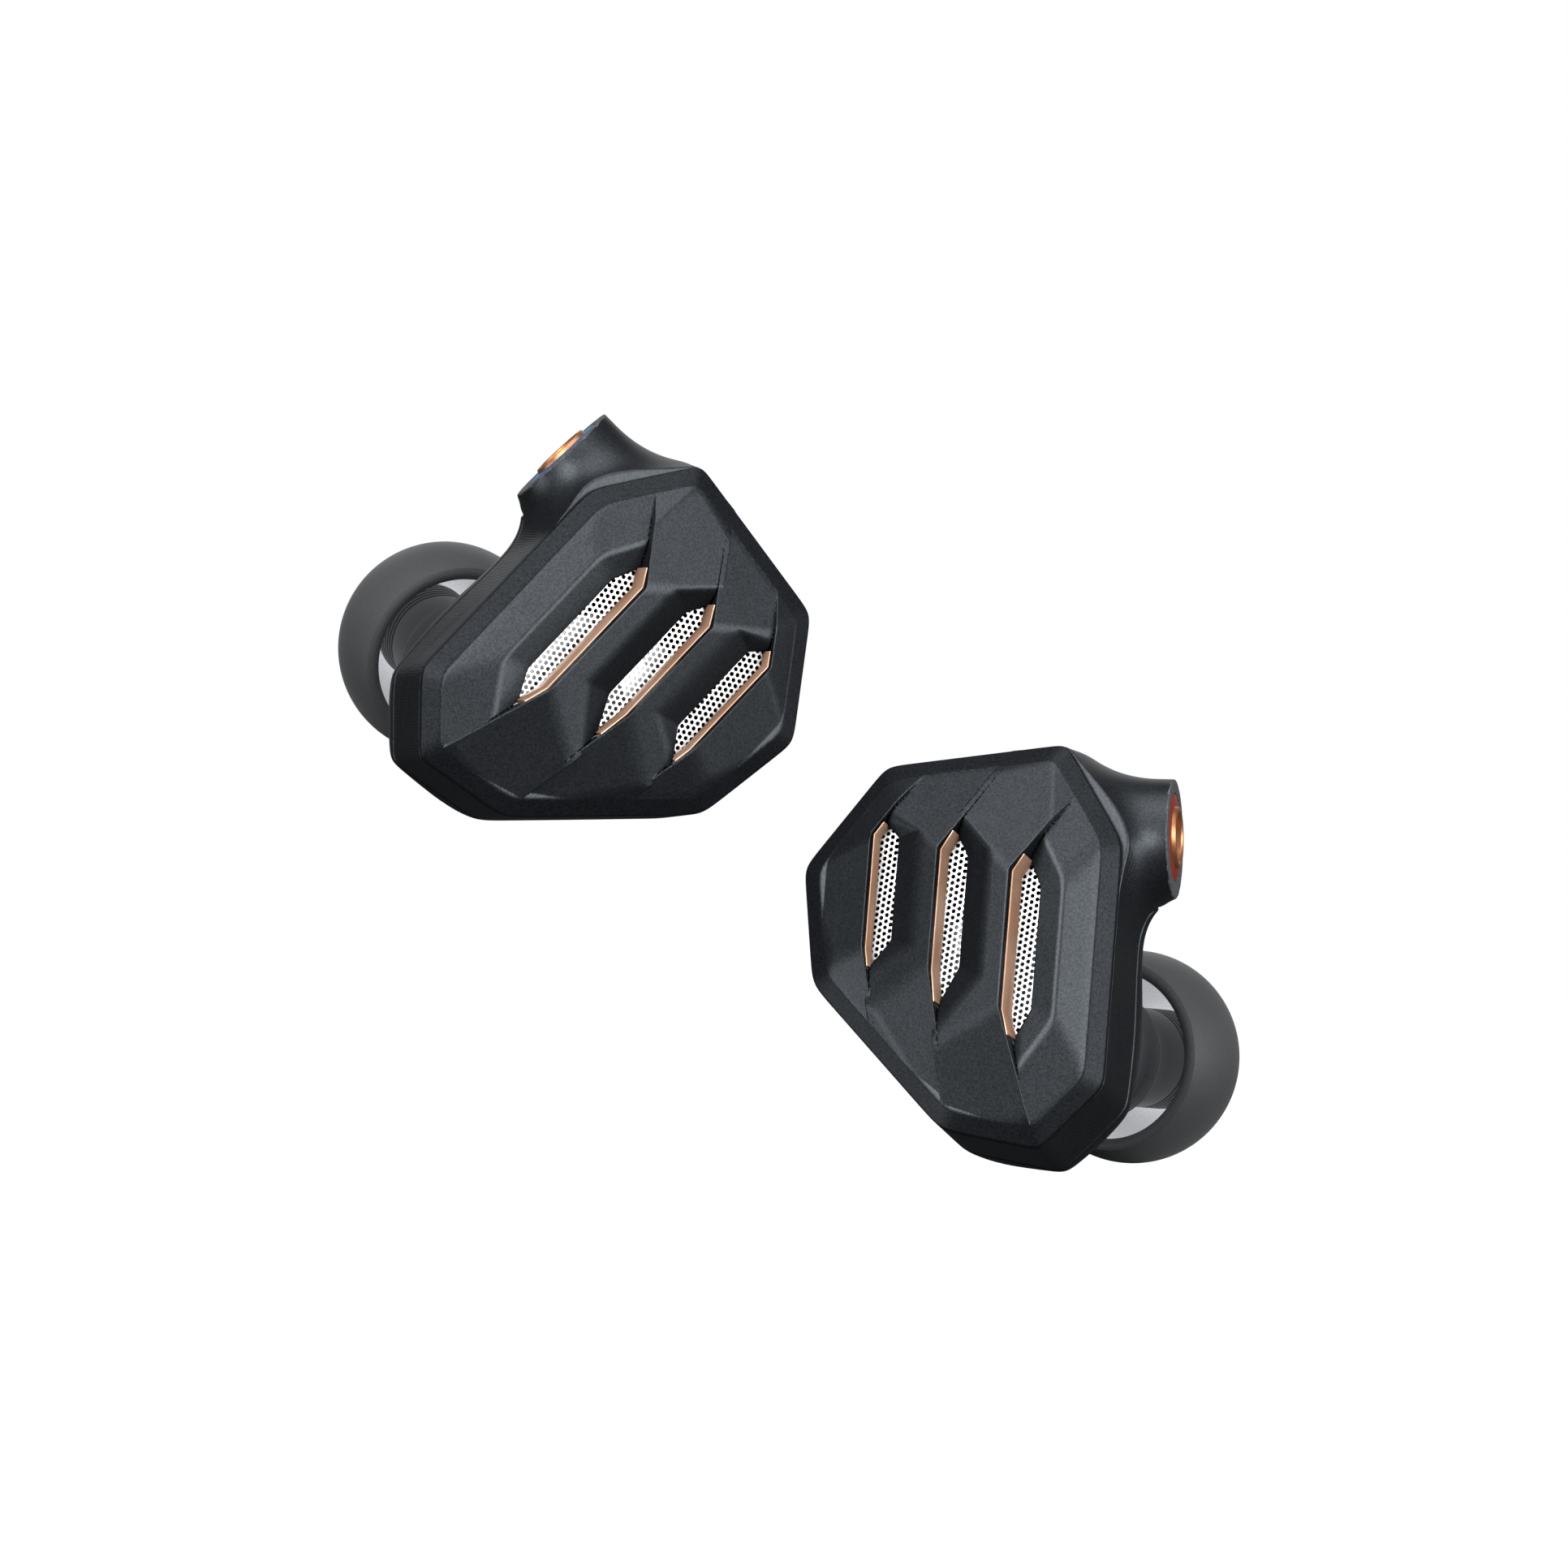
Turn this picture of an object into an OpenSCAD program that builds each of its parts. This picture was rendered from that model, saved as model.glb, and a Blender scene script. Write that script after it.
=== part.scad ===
// Pair of in-ear monitors: a left and a right earpiece, mirror images of each other.
// Each earpiece has a louvred faceplate, a shell with a cable socket and a nozzle,
// an ear tip, and inside a moving-coil driver, a treble driver and a crossover.
//
// Each sub-part is drawn once in the earpiece's own frame: Z is the outward normal of
// the faceplate, Y runs along the three vent slots and X across them. The earpieces are
// then placed as a held pair, with the origin at the centre of the left ear tip.

/* [Pair] */
// Turn of the left earpiece about X, Y and Z, in degrees
left_turn = [87, 45, 15.5]; // [-180:0.5:180]
// Turn of the right earpiece about X, Y and Z, in degrees
right_turn = [75.5, 0.5, -16]; // [-180:0.5:180]
// Centre of the right ear tip from the centre of the left one
tips_apart = [39.4, -0.8, -23.4]; // [-80:0.1:80]

/* [Faceplate] */
// Width of the bevel between the rim and the louvred crown
bevel_width = 1.0; // [0.8:0.1:1.2]
// Height of the crown's border above the rim
bevel_rise = 0.6; // [0.4:0.1:0.8]
// Depth of the faceplate's edge behind the rim
plate_edge = 0.4; // [0.3:0.1:0.5]
// Slope of the crown just inside its border, rise over run
border_slope = 0.7; // [0.6:0.05:1]
// Radius of the outline's corners
corner_radius = 1.2; // [0.8:0.1:1.6]
// Thickness of a vent mesh strip
mesh_thick = 0.2; // [0.15:0.05:0.25]
// How far a mesh strip reaches behind the edges of its slot
mesh_overlap = 0.3; // [0.2:0.05:0.35]
// Width of the copper liner under each lip
liner_width = 0.3; // [0.2:0.05:0.4]
// Gap between a lip's edge and the top of its liner
liner_drop = 0.5; // [0.3:0.1:0.7]

/* [Shell] */
// Depth of the side wall, from the rim to the seam with the rear shell
wall_depth = 5.3; // [5:0.1:6]
// Thickness of the shell's walls
wall = 1.0; // [0.8:0.1:1.2]
// Depth of the rear shell behind the seam
bowl_depth = 4.6; // [4:0.1:5]
// How far the rear shell draws in from the side wall
bowl_draw = 5; // [4.6:0.1:5.4]
// Radius of the nozzle boss at its end
boss_r = 3.7; // [3.4:0.1:4]
// Length of the boss's round end
boss_length = 4.5; // [4:0.1:5]

/* [Cable socket] */
// Radius of the socket neck at its end
neck_r = 3.3; // [3.1:0.1:3.5]
// Length of the socket neck, along its axis
neck_length = 7; // [6.5:0.1:7.5]
// Radius of the neck where it has widened into the shell
neck_foot_r = 4.1; // [3.8:0.1:4.2]
// Outer radius of the coloured side-marking ring
ring_r = 2.5; // [2.3:0.05:2.6]
// Depth of the side-marking ring
ring_depth = 1.2; // [1:0.1:1.5]
// Outer radius of the socket's barrel
barrel_r = 1.8; // [1.7:0.05:1.9]
// Radius of the socket's bore
socket_r = 1.4; // [1.3:0.05:1.5]
// Depth of the free front stretch of the socket's bore
socket_free = 1.5; // [1.2:0.1:1.8]
// How far the barrel stands out of the neck
barrel_proud = 0.25; // [0.1:0.05:0.4]
// Radius of the centre contact
contact_r = 0.35; // [0.25:0.05:0.45]

/* [Ear tip] */
// Radius of the ear tip's dome
dome_r = 6.1; // [5:0.1:7]
// Thickness of the dome's skin
dome_skin = 0.6; // [0.4:0.1:0.8]
// Distance from the dome's centre back to its open edge
dome_back = 2.7; // [2:0.1:3.5]
// Radius of the tip's stem
stem_r = 2.85; // [2.8:0.05:3.1]
// Radius of the bore that grips the nozzle
stem_bore = 2.45; // [2.43:0.01:2.5]
// Radius of the tip's sound outlet
outlet_r = 2.0; // [1.6:0.1:2.2]
// Gap between the stem and the end of the boss
stem_gap = 0.15; // [0.1:0.05:0.3]

/* [Nozzle] */
// Radius of the nozzle tube
nozzle_r = 2.2; // [2.1:0.05:2.3]
// Radius of the nozzle's retaining lip
nozzle_lip_r = 2.4; // [2.35:0.01:2.42]
// Radius of the nozzle's sound bore
nozzle_bore = 1.8; // [1.6:0.05:1.9]
// Length of the nozzle beyond the boss
nozzle_out = 3.6; // [3:0.1:4]
// Length of the nozzle inside the boss
nozzle_in = 5; // [4:0.1:6]

/* [Driver] */
// Radius of the moving-coil driver
driver_r = 5; // [4.9:0.05:5.1]
// Place of the driver's axis in X and Y
driver_at = [1.2, -1.6]; // [-3:0.1:3]
// Depth of the driver's back behind the rim
driver_back = 1.4; // [1.3:0.1:1.6]
// Radius of the magnet
magnet_r = 2.0; // [1.9:0.05:2.1]
// Thickness of the diaphragm's film
film = 0.1; // [0.08:0.01:0.12]

/* [Hidden] */
SIDES = ["left", "right"];
PIECES = [
    "faceplate", "vent_mesh", "vent_liner", "faceplate_seal", "side_frame", "rear_shell",
    "nozzle", "nozzle_screen", "nozzle_damper", "ear_tip_dome", "ear_tip_core",
    "socket_housing", "socket_barrel", "socket_ring", "socket_insulator",
    "socket_contact",
    "driver_frame", "driver_cover", "driver_yoke", "driver_magnet", "driver_top_plate",
    "driver_felt", "voice_coil", "diaphragm", "treble_driver", "sound_tube",
    "crossover_board", "board_components", "signal_wires"
];

$fn = 48;
// Overlap that lets a cut break cleanly through a face
slack = 0.5;
// Overlap of neighbouring panels under a lip
lap = 0.03;
// Edge of the cubes that stand for a half space
huge = 60;

// The rim's outline, anticlockwise from the corner beside the socket
rim = [
    [-4.4, 11.7], [-8.1, 6.1], [-8.1, -8.3], [-4.6, -12],
    [1.3, -10.9], [9.5, -2.5], [10.5, 4.3], [6.1, 10.3]
];
// The corners of that outline, by where they lie
TOP_LEFT = 0;
LEFT_HIGH = 1;
LEFT_LOW = 2;
LOW_LEFT = 3;
LOW = 4;
RIGHT_LOW = 5;
RIGHT_HIGH = 6;
TOP_RIGHT = 7;

// Each vent slot lies under the lip of the panel on its +X side. The lips, the chamfers'
// outer lines and the slots' inner lines have a straight middle along Y: its X, its two
// ends in Y, and its height.
lip_x = [-2.4, 2.0, 6.2];
lip_y = [[3.7, -4.4], [5.0, -2.1], [6.0, -0.7]];
lip_z = [2.8, 2.5, 1.8];
chamfer_x = [-5.3, -1.0, 3.3];
chamfer_y = [[3.4, -4.8], [5.0, -2.5], [6.1, -0.7]];
chamfer_z = [1.5, 2.4, 2.0];
slot_x = [-3.8, 0.6, 4.8];
slot_y = [[3.1, -4.1], [4.8, -1.7], [5.9, -0.1]];
slot_z = [1.0, 1.1, 0.9];
// Where a slot's two ends meet the lip, as parts of the lip's sloping ends
slot_top_part = 0.78;
slot_low_part = 0.24;
// Top face of each mesh strip, and its slope across the slot in degrees
mesh_z = [0.8, 0.8, 0.6];
mesh_tilt = [0, 0, 9];

// Socket end: centre, tilt of its axis from Z, and its swing about Z
neck_end = [-9.8, 7.6, -5.1];
neck_tilt = 97;
neck_swing = 177;
// Ear tip: centre of its dome, tilt of its axis from Z, and its swing about Z
tip_centre = [-4.4, -1.9, -18.8];
tip_tilt = 162.5;
tip_swing = 138;
// End face of the nozzle boss, from the dome's centre along the tip's axis
boss_end = -dome_back - 0.65;
// Where the dome's skin starts to close in on the core, and the core's front end
dome_close = 4.4;
core_end = dome_r - 0.9;

// The nozzle's lip, and the screen that sits in the nozzle's mouth
nozzle_lip = 0.8;
screen_seat = 0.3;
screen_r = nozzle_bore + 0.2;
screen_rings = 2;
screen_pitch = 0.55;
screen_hole_r = 0.18;
damper_thick = 0.6;

// Steps of the rear shell's curve, as angles of a quarter turn; the boss grows from one
bowl_angles = [18, 36, 54, 72];
taper_angle = 54;
// Thickness of the slices that a hull joins
slice = 0.1;

// Cable socket: its depth, its radius behind the free stretch, its insulator's thickness
// and the contact's two ends
socket_depth = 4.4;
inner_r = socket_r - 0.4;
insulator_thick = 1;
contact_front = -1.8;
contact_back = -4.8;

// Heights in the driver, measured from its back
yoke_floor = 0.6;
magnet_thick = 1.1;
plate_thick = 0.5;
yoke_depth = yoke_floor + magnet_thick + plate_thick;
basket_back = 1.4;
basket_front = 1.9;
film_depth = 3.0;
cover_back = 4.0;
cover_depth = 4.4;
cover_thick = 0.3;
// Radii in the driver
coil_r = magnet_r + 0.2;
coil_thick = 0.25;
yoke_bore = coil_r + coil_thick + 0.15;
yoke_r = yoke_bore + 0.6;
vent_r = 0.5;
basket_wall = 0.3;
ledge = 0.5;
felt_r = 1.2;
felt_thick = 0.3;
// The formed film: its roll's radius, how flat that roll is, and its dome's height
roll_r = 0.6;
roll_flat = 0.7;
dome_height = 0.6;

// Treble driver: centre and size; the sound tube runs from it to the nozzle
treble_at = [3.2, -1.6, -7.0];
treble_size = [5, 2.7, 1.4];
tube_end = [-1.6, -3.4, -8.9];
tube_r = 0.6;
tube_wall = 0.25;

// Crossover board: its centre, its size and the parts on it
board_at = [0.2, 6.9, -3.0];
board_size = [5.6, 3.6, 0.5];
part_places = [[-1.6, 0.6], [0.2, -0.8], [1.7, 0.7]];
part_sizes = [[1.6, 0.8, 0.8], [1.0, 0.5, 0.4], [1.6, 0.8, 0.8]];

// Signal wires, by their ends: socket to board, board to driver, board to treble driver
wire_r = 0.12;
wires = [
    [[-4.8, 7.35, -4.3], [-2.7, 7.3, -3.1]],
    [[0.8, 5.0, -3.1], [1.2, 3.6, -3.1]],
    [[1.8, 5.0, -3.1], [2.2, 3.6, -3.1]],
    [[2.6, 5.0, -3.3], [3.0, 4.4, -6.3]],
    [[3.0, 4.1, -6.6], [3.2, 0, -7.0]]
];

function unit(v) = v / norm(v);
function mix(p, q, part) = p + (q - p) * part;
function at(p, z) = [p.x, p.y, z];
function left_of(d) = [-d.y, d.x];

// A corner moved square to both of its edges, inwards on an anticlockwise outline
function inset_corner(before, corner, after, d) =
    let (n = left_of(unit(corner - before)), m = left_of(unit(after - corner)))
    corner + (n + m) * d / (1 + n * m);

function before(outline, i) = outline[(i + len(outline) - 1) % len(outline)];
function after(outline, i) = outline[(i + 1) % len(outline)];

function inset(outline, d) = [
    for (i = [0 : len(outline) - 1]) inset_corner(before(outline, i), outline[i], after(outline, i), d)
];

// An arc of a few points in place of each corner
function rounded(outline, radius, steps = 4) = [
    for (i = [0 : len(outline) - 1])
        let (
            centre = inset_corner(before(outline, i), outline[i], after(outline, i), radius),
            n = -left_of(unit(outline[i] - before(outline, i))),
            m = -left_of(unit(after(outline, i) - outline[i])),
            start = atan2(n.y, n.x),
            turn = acos(n * m) / steps
        )
        for (step = [0 : steps]) centre + radius * [cos(start + step * turn), sin(start + step * turn)]
];

crown = inset(rim, bevel_width);

// The lips run from one point of the crown's border to another
lip_tops = [
    mix(crown[TOP_LEFT], crown[LEFT_HIGH], 0.45),
    mix(crown[TOP_LEFT], crown[TOP_RIGHT], 0.3),
    mix(crown[TOP_LEFT], crown[TOP_RIGHT], 0.8)
];
lip_lows = [crown[LOW_LEFT], crown[LOW], mix(crown[RIGHT_LOW], crown[LOW], 0.4)];
lips = [for (i = [0 : 2]) [lip_tops[i], [lip_x[i], lip_y[i][0]], [lip_x[i], lip_y[i][1]], lip_lows[i]]];

function slot_top(i) = mix(lips[i][0], lips[i][1], slot_top_part);
function slot_low(i) = mix(lips[i][2], lips[i][3], slot_low_part);
function slot_outline(i) = concat(
    [[slot_x[i], slot_y[i][0]], [slot_x[i], slot_y[i][1]]],
    shifted([slot_low(i), lips[i][2], lips[i][1], slot_top(i)], -lap)
);

// A lip's line moved across the slots, so that neighbours overlap and cuts stay clear
function shifted(line, across) = [for (p = line) p + [across, 0]];
function backwards(line) = [for (i = [len(line) - 1 : -1 : 0]) line[i]];
function panel_end(i) = backwards(shifted(lips[i], lap));

// The four panels' outlines, anticlockwise; each runs a little under the next one's lip
panels = [
    concat([crown[LEFT_HIGH], crown[LEFT_LOW]], panel_end(0)),
    concat([crown[TOP_LEFT]], lips[0], panel_end(1)),
    concat(lips[1], panel_end(2)),
    concat([crown[TOP_RIGHT]], lips[2], [crown[RIGHT_LOW], crown[RIGHT_HIGH]])
];

// The middle of each lip and chamfer line: its upper (0) or lower (1) end
function lip_at(i, e) = [lip_x[i], lip_y[i][e], lip_z[i]];
function chamfer_at(i, e) = [chamfer_x[i], chamfer_y[i][e], chamfer_z[i]];
function slot_at(i, e) = [slot_x[i], slot_y[i][e], slot_z[i]];
function border(i) = at(crown[i], bevel_rise);
function border_mid(p, q) = at(mix(p, q, 0.5), bevel_rise);
// Where a panel's lower facet meets its chamfer, a little below the lip's lower end
function facet_foot(i) = [chamfer_x[i + 1], lip_y[i][1] - 0.7, chamfer_z[i + 1]];

// The upper, middle and lower facet of each panel, each by three of its points
facets = [
    [
        [border(LEFT_HIGH), at(lips[0][0], bevel_rise), chamfer_at(0, 0)],
        [border(LEFT_HIGH), border(LEFT_LOW), chamfer_at(0, 0)],
        [border(LEFT_LOW), border(LOW_LEFT), chamfer_at(0, 1)]
    ],
    [
        [lip_at(0, 0), chamfer_at(1, 0), border(TOP_LEFT)],
        [lip_at(0, 0), lip_at(0, 1), chamfer_at(1, 0)],
        [lip_at(0, 1), facet_foot(0), border_mid(crown[LOW_LEFT], crown[LOW])]
    ],
    [
        [lip_at(1, 0), chamfer_at(2, 0), border_mid(lips[1][0], lips[2][0])],
        [lip_at(1, 0), lip_at(1, 1), chamfer_at(2, 0)],
        [lip_at(1, 1), facet_foot(1), border_mid(crown[LOW], lips[2][3])]
    ],
    [
        [lip_at(2, 0), border(RIGHT_HIGH), border(TOP_RIGHT)],
        [lip_at(2, 0), lip_at(2, 1), border_mid(crown[RIGHT_HIGH], crown[RIGHT_LOW])],
        [lip_at(2, 1), border(RIGHT_LOW), at(lips[2][3], bevel_rise)]
    ]
];

// The chamfer that leads down to a slot, in three planes
function chamfers(i) = [
    [slot_at(i, 0), at(slot_top(i), slot_z[i]), chamfer_at(i, 0)],
    [slot_at(i, 0), slot_at(i, 1), chamfer_at(i, 0)],
    [slot_at(i, 1), at(slot_low(i), slot_z[i]), chamfer_at(i, 1)]
];

// Start of the slope inside the border, just clear of the facets' own edges
border_z = bevel_rise + 0.02;

// The seal behind the faceplate: its two edges, from the rim inwards, and its thickness
seal_out = 0.3;
seal_in = 0.7;
seal_thick = 0.2;

function upward(n) = n.z < 0 ? -n : n;

// All space below the plane through three points
module below(points) {
    n = upward(unit(cross(points[1] - points[0], points[2] - points[0])));
    translate(points[0])
        rotate([0, acos(n.z), atan2(n.y, n.x)])
            translate([-huge / 2, -huge / 2, -huge])
                cube(huge);
}

// All space above the plane through three points
module above(points) {
    n = upward(unit(cross(points[1] - points[0], points[2] - points[0])));
    translate(points[0])
        rotate([0, acos(n.z), atan2(n.y, n.x)])
            translate([-huge / 2, -huge / 2, 0])
                cube(huge);
}

// All space below a plane that rises inwards from an outline's edge
module below_edge(outline, i, z, slope) {
    inward = left_of(unit(after(outline, i) - outline[i]));
    below([at(outline[i], z), at(after(outline, i), z), at(outline[i] + inward, z + slope)]);
}

module prism(outline, low, high) {
    translate([0, 0, low])
        linear_extrude(high - low)
            polygon(outline);
}

module tube(outer, inner, low, high) {
    translate([0, 0, low])
        difference() {
            cylinder(r = outer, h = high - low);
            translate([0, 0, -slack])
                cylinder(r = inner, h = high - low + 2 * slack);
        }
}

module at_neck() {
    translate(neck_end) rotate([0, neck_tilt, neck_swing]) children();
}

module at_tip() {
    translate(tip_centre) rotate([0, tip_tilt, tip_swing]) children();
}

// The driver's own frame: Z runs from its back towards its front
module at_driver() {
    translate([driver_at.x, driver_at.y, -driver_back]) rotate([180, 0, 0]) children();
}

// ---- Faceplate and what it carries ----

module bevelled_rim() {
    intersection() {
        prism(rounded(rim, corner_radius), -plate_edge, bevel_rise);
        intersection_for(i = [0 : len(rim) - 1]) below_edge(rim, i, 0, bevel_rise / bevel_width);
    }
}

module panel(k) {
    difference() {
        intersection() {
            prism(panels[k], 0, lip_z[0] + 1);
            intersection_for(facet = facets[k]) below(facet);
            intersection_for(i = [0 : len(crown) - 1]) below_edge(crown, i, border_z, border_slope);
        }
        if (k < len(lips)) slot_pit(k);
    }
}

// The chamfered pit around a slot, open towards the lip
module slot_pit(i) {
    intersection_for(facet = chamfers(i)) above(facet);
}

// The place of a mesh strip; a larger grow gives the seat that it lies in
module strip(i, grow, low, high) {
    translate([slot_x[i], 0, mesh_z[i]])
        rotate([0, mesh_tilt[i], 0])
            translate([-slot_x[i], 0, 0])
                prism(inset(slot_outline(i), -grow), low, high);
}

// A band of the slot that follows the lip's three straight runs
module liner_band(i, low, high) {
    line = [slot_top(i), lips[i][1], lips[i][2], slot_low(i)];
    intersection() {
        prism(slot_outline(i), low, high);
        prism(concat(line, backwards(shifted(line, -liner_width))), low - slack, high + slack);
    }
}

module faceplate() {
    color([0.12, 0.13, 0.15])
        difference() {
            union() {
                bevelled_rim();
                for (k = [0 : len(panels) - 1]) panel(k);
            }
            for (i = [0 : len(lips) - 1]) {
                prism(slot_outline(i), -plate_edge - slack, lip_z[i] + slack);
                strip(i, mesh_overlap, -mesh_z[i] - plate_edge - slack, 0);
            }
        }
}

module vent_mesh() {
    color([0.82, 0.82, 0.82])
        for (i = [0 : len(lips) - 1]) strip(i, mesh_overlap - 0.02, -mesh_thick, 0);
}

module vent_liner() {
    color([0.72, 0.42, 0.28])
        for (i = [0 : len(lips) - 1])
            difference() {
                liner_band(i, mesh_z[i] - mesh_thick, lip_z[i] - liner_drop);
                strip(i, mesh_overlap, -huge, 0);
            }
}

module faceplate_seal() {
    color([0.08, 0.08, 0.08])
        difference() {
            prism(rounded(inset(rim, seal_out), corner_radius), -plate_edge - seal_thick, -plate_edge);
            prism(rounded(inset(rim, seal_in), corner_radius), -plate_edge - 1, 0);
        }
}

// ---- Shell ----

// One slice of a bowl, at an angle of its quarter turn, drawn in further by extra
module bowl_slice(outline, depth, draw, angle, extra = 0) {
    low = -wall_depth - depth * sin(angle);
    prism(rounded(inset(outline, draw * (1 - cos(angle)) + extra), corner_radius / 2), low, low + slice);
}

// A bowl behind the seam, from an outline that is drawn in as it gets deeper
module bowl(outline, depth, draw, top) {
    hull() {
        prism(rounded(outline, corner_radius), -wall_depth, top);
        for (angle = bowl_angles) bowl_slice(outline, depth, draw, angle);
    }
}

// The tapered run from inside the bowl to the boss
module taper(outline, depth, draw, radius) {
    hull() {
        bowl_slice(outline, depth, draw, taper_angle, 0.4);
        at_tip() translate([0, 0, boss_end - boss_length]) cylinder(r = radius, h = slice);
    }
}

// The hollow inside the side frame and the rear shell
module cavity() {
    bowl(inset(rim, wall), bowl_depth - wall, bowl_draw - wall, 0);
}

// The socket neck's outer form: round at its end, widening towards the shell
module neck_form() {
    at_neck() {
        translate([0, 0, -neck_length]) cylinder(r = neck_r, h = neck_length);
        translate([0, 0, -neck_length]) cylinder(r1 = neck_foot_r, r2 = neck_r, h = neck_length - 0.8);
    }
}

module side_frame() {
    color([0.1, 0.11, 0.13])
        difference() {
            prism(rounded(rim, corner_radius), -wall_depth, -plate_edge);
            cavity();
            neck_form();
            seal_groove();
        }
}

// The groove under the faceplate that holds its seal
module seal_groove() {
    difference() {
        prism(rounded(inset(rim, seal_out), corner_radius), -plate_edge - seal_thick, 0);
        prism(rounded(inset(rim, seal_in), corner_radius), -plate_edge - 1, 1);
    }
}

module socket_housing() {
    color([0.1, 0.11, 0.13])
        difference() {
            neck_form();
            cavity();
            at_neck() {
                translate([0, 0, -ring_depth]) cylinder(r = ring_r, h = ring_depth + slack);
                translate([0, 0, -neck_length - slack]) cylinder(r = barrel_r, h = neck_length + 2 * slack);
            }
            seal_groove();
        }
}

module rear_shell() {
    color([0.1, 0.11, 0.13])
        difference() {
            union() {
                bowl(rim, bowl_depth, bowl_draw, -wall_depth + slice);
                taper(rim, bowl_depth, bowl_draw, boss_r + 0.3);
                at_tip()
                    translate([0, 0, boss_end - boss_length - 1])
                        cylinder(r = boss_r, h = boss_length + 1);
            }
            cavity();
            taper(inset(rim, wall), bowl_depth - wall, bowl_draw - wall, boss_r - wall);
            translate([-huge / 2, -huge / 2, -wall_depth]) cube(huge);
            neck_form();
            at_tip() translate([0, 0, boss_end - nozzle_in]) cylinder(r = nozzle_r, h = nozzle_in + slack);
            at_tip() translate([0, 0, boss_end - nozzle_in - 4]) cylinder(r = nozzle_bore, h = 5);
        }
}

// ---- Nozzle and ear tip ----

module nozzle() {
    start = boss_end - nozzle_in;
    end = boss_end + nozzle_out;
    color([0.6, 0.6, 0.62])
        at_tip()
            difference() {
                union() {
                    translate([0, 0, start]) cylinder(r = nozzle_r, h = end - start);
                    translate([0, 0, end - nozzle_lip]) cylinder(r = nozzle_lip_r, h = nozzle_lip);
                }
                translate([0, 0, start - slack]) cylinder(r = nozzle_bore, h = end - start + 2 * slack);
                translate([0, 0, end - screen_seat]) cylinder(r = screen_r, h = screen_seat + slack);
            }
}

// A round grille: a disc with rings of holes
module nozzle_screen() {
    color([0.75, 0.75, 0.77])
        at_tip()
            translate([0, 0, boss_end + nozzle_out - screen_seat])
                difference() {
                    cylinder(r = screen_r, h = screen_seat / 2);
                    for (ring = [0 : screen_rings])
                        for (hole = [0 : max(0, 6 * ring - 1)])
                            rotate(hole * 60 / max(1, ring))
                                translate([ring * screen_pitch, 0, -slack])
                                    cylinder(r = screen_hole_r, h = 2 * slack, $fn = 16);
                }
}

module nozzle_damper() {
    color([0.3, 0.5, 0.35])
        at_tip()
            translate([0, 0, boss_end + 1]) cylinder(r = nozzle_bore, h = damper_thick);
}

module ear_tip_dome() {
    color([0.22, 0.22, 0.23])
        at_tip()
            difference() {
                sphere(r = dome_r, $fn = 64);
                intersection() {
                    sphere(r = dome_r - dome_skin, $fn = 64);
                    translate([0, 0, -2 * dome_r]) cylinder(r = 2 * dome_r, h = 2 * dome_r + dome_close);
                }
                translate([0, 0, -dome_back - huge]) cylinder(r = huge, h = huge);
                translate([0, 0, -huge / 2]) cylinder(r = stem_r, h = huge);
            }
}

module ear_tip_core() {
    low = boss_end + stem_gap;
    grip = nozzle_out - stem_gap + 0.2;
    color([0.16, 0.16, 0.17])
        at_tip()
            difference() {
                translate([0, 0, low]) cylinder(r = stem_r, h = core_end - low);
                translate([0, 0, low - slack]) cylinder(r = stem_bore, h = grip + slack);
                translate([0, 0, low]) cylinder(r = outlet_r, h = core_end - low + slack);
            }
}

// ---- Cable socket ----

module socket_barrel() {
    color([0.72, 0.42, 0.28])
        at_neck()
            difference() {
                translate([0, 0, -socket_depth]) cylinder(r = barrel_r, h = socket_depth + barrel_proud);
                translate([0, 0, barrel_proud - socket_free])
                    cylinder(r = socket_r, h = socket_free + slack);
                translate([0, 0, -socket_depth - slack]) cylinder(r = inner_r, h = socket_depth);
            }
}

module socket_ring(tint) {
    color(tint)
        at_neck()
            tube(ring_r, barrel_r, -ring_depth, -0.05);
}

module socket_insulator() {
    color([0.92, 0.92, 0.9])
        at_neck()
            tube(inner_r, contact_r, -socket_depth, insulator_thick - socket_depth);
}

module socket_contact() {
    color([0.85, 0.65, 0.3])
        at_neck()
            translate([0, 0, contact_back]) cylinder(r = contact_r, h = contact_front - contact_back);
}

// ---- Moving-coil driver, in its own frame ----

module driver_frame() {
    color([0.3, 0.3, 0.32])
        at_driver() {
            tube(driver_r, yoke_r, basket_back, basket_front);
            tube(driver_r, driver_r - basket_wall, basket_front, cover_back);
            tube(driver_r - basket_wall, driver_r - basket_wall - ledge, basket_front, film_depth - 0.3);
        }
}

module driver_cover() {
    color([0.7, 0.7, 0.72])
        at_driver()
            difference() {
                translate([0, 0, cover_back])
                    cylinder(r = driver_r, h = cover_depth + cover_thick - cover_back);
                translate([0, 0, cover_back - slack])
                    cylinder(r = driver_r - 0.4, h = cover_depth - cover_back + slack);
                translate([0, 0, cover_back]) cylinder(r = 0.9, h = 1);
                for (i = [0 : 5])
                    rotate(i * 60)
                        translate([2.6, 0, cover_back])
                            cylinder(r = vent_r, h = 1);
            }
}

module driver_yoke() {
    color([0.55, 0.55, 0.57])
        at_driver()
            difference() {
                cylinder(r = yoke_r, h = yoke_depth);
                translate([0, 0, yoke_floor]) cylinder(r = yoke_bore, h = yoke_depth);
                translate([0, 0, -slack]) cylinder(r = vent_r, h = 2);
            }
}

module driver_magnet() {
    color([0.65, 0.65, 0.66])
        at_driver()
            tube(magnet_r, vent_r, yoke_floor, yoke_floor + magnet_thick);
}

module driver_top_plate() {
    color([0.5, 0.5, 0.52])
        at_driver()
            tube(magnet_r + 0.05, vent_r, yoke_depth - plate_thick, yoke_depth);
}

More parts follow.
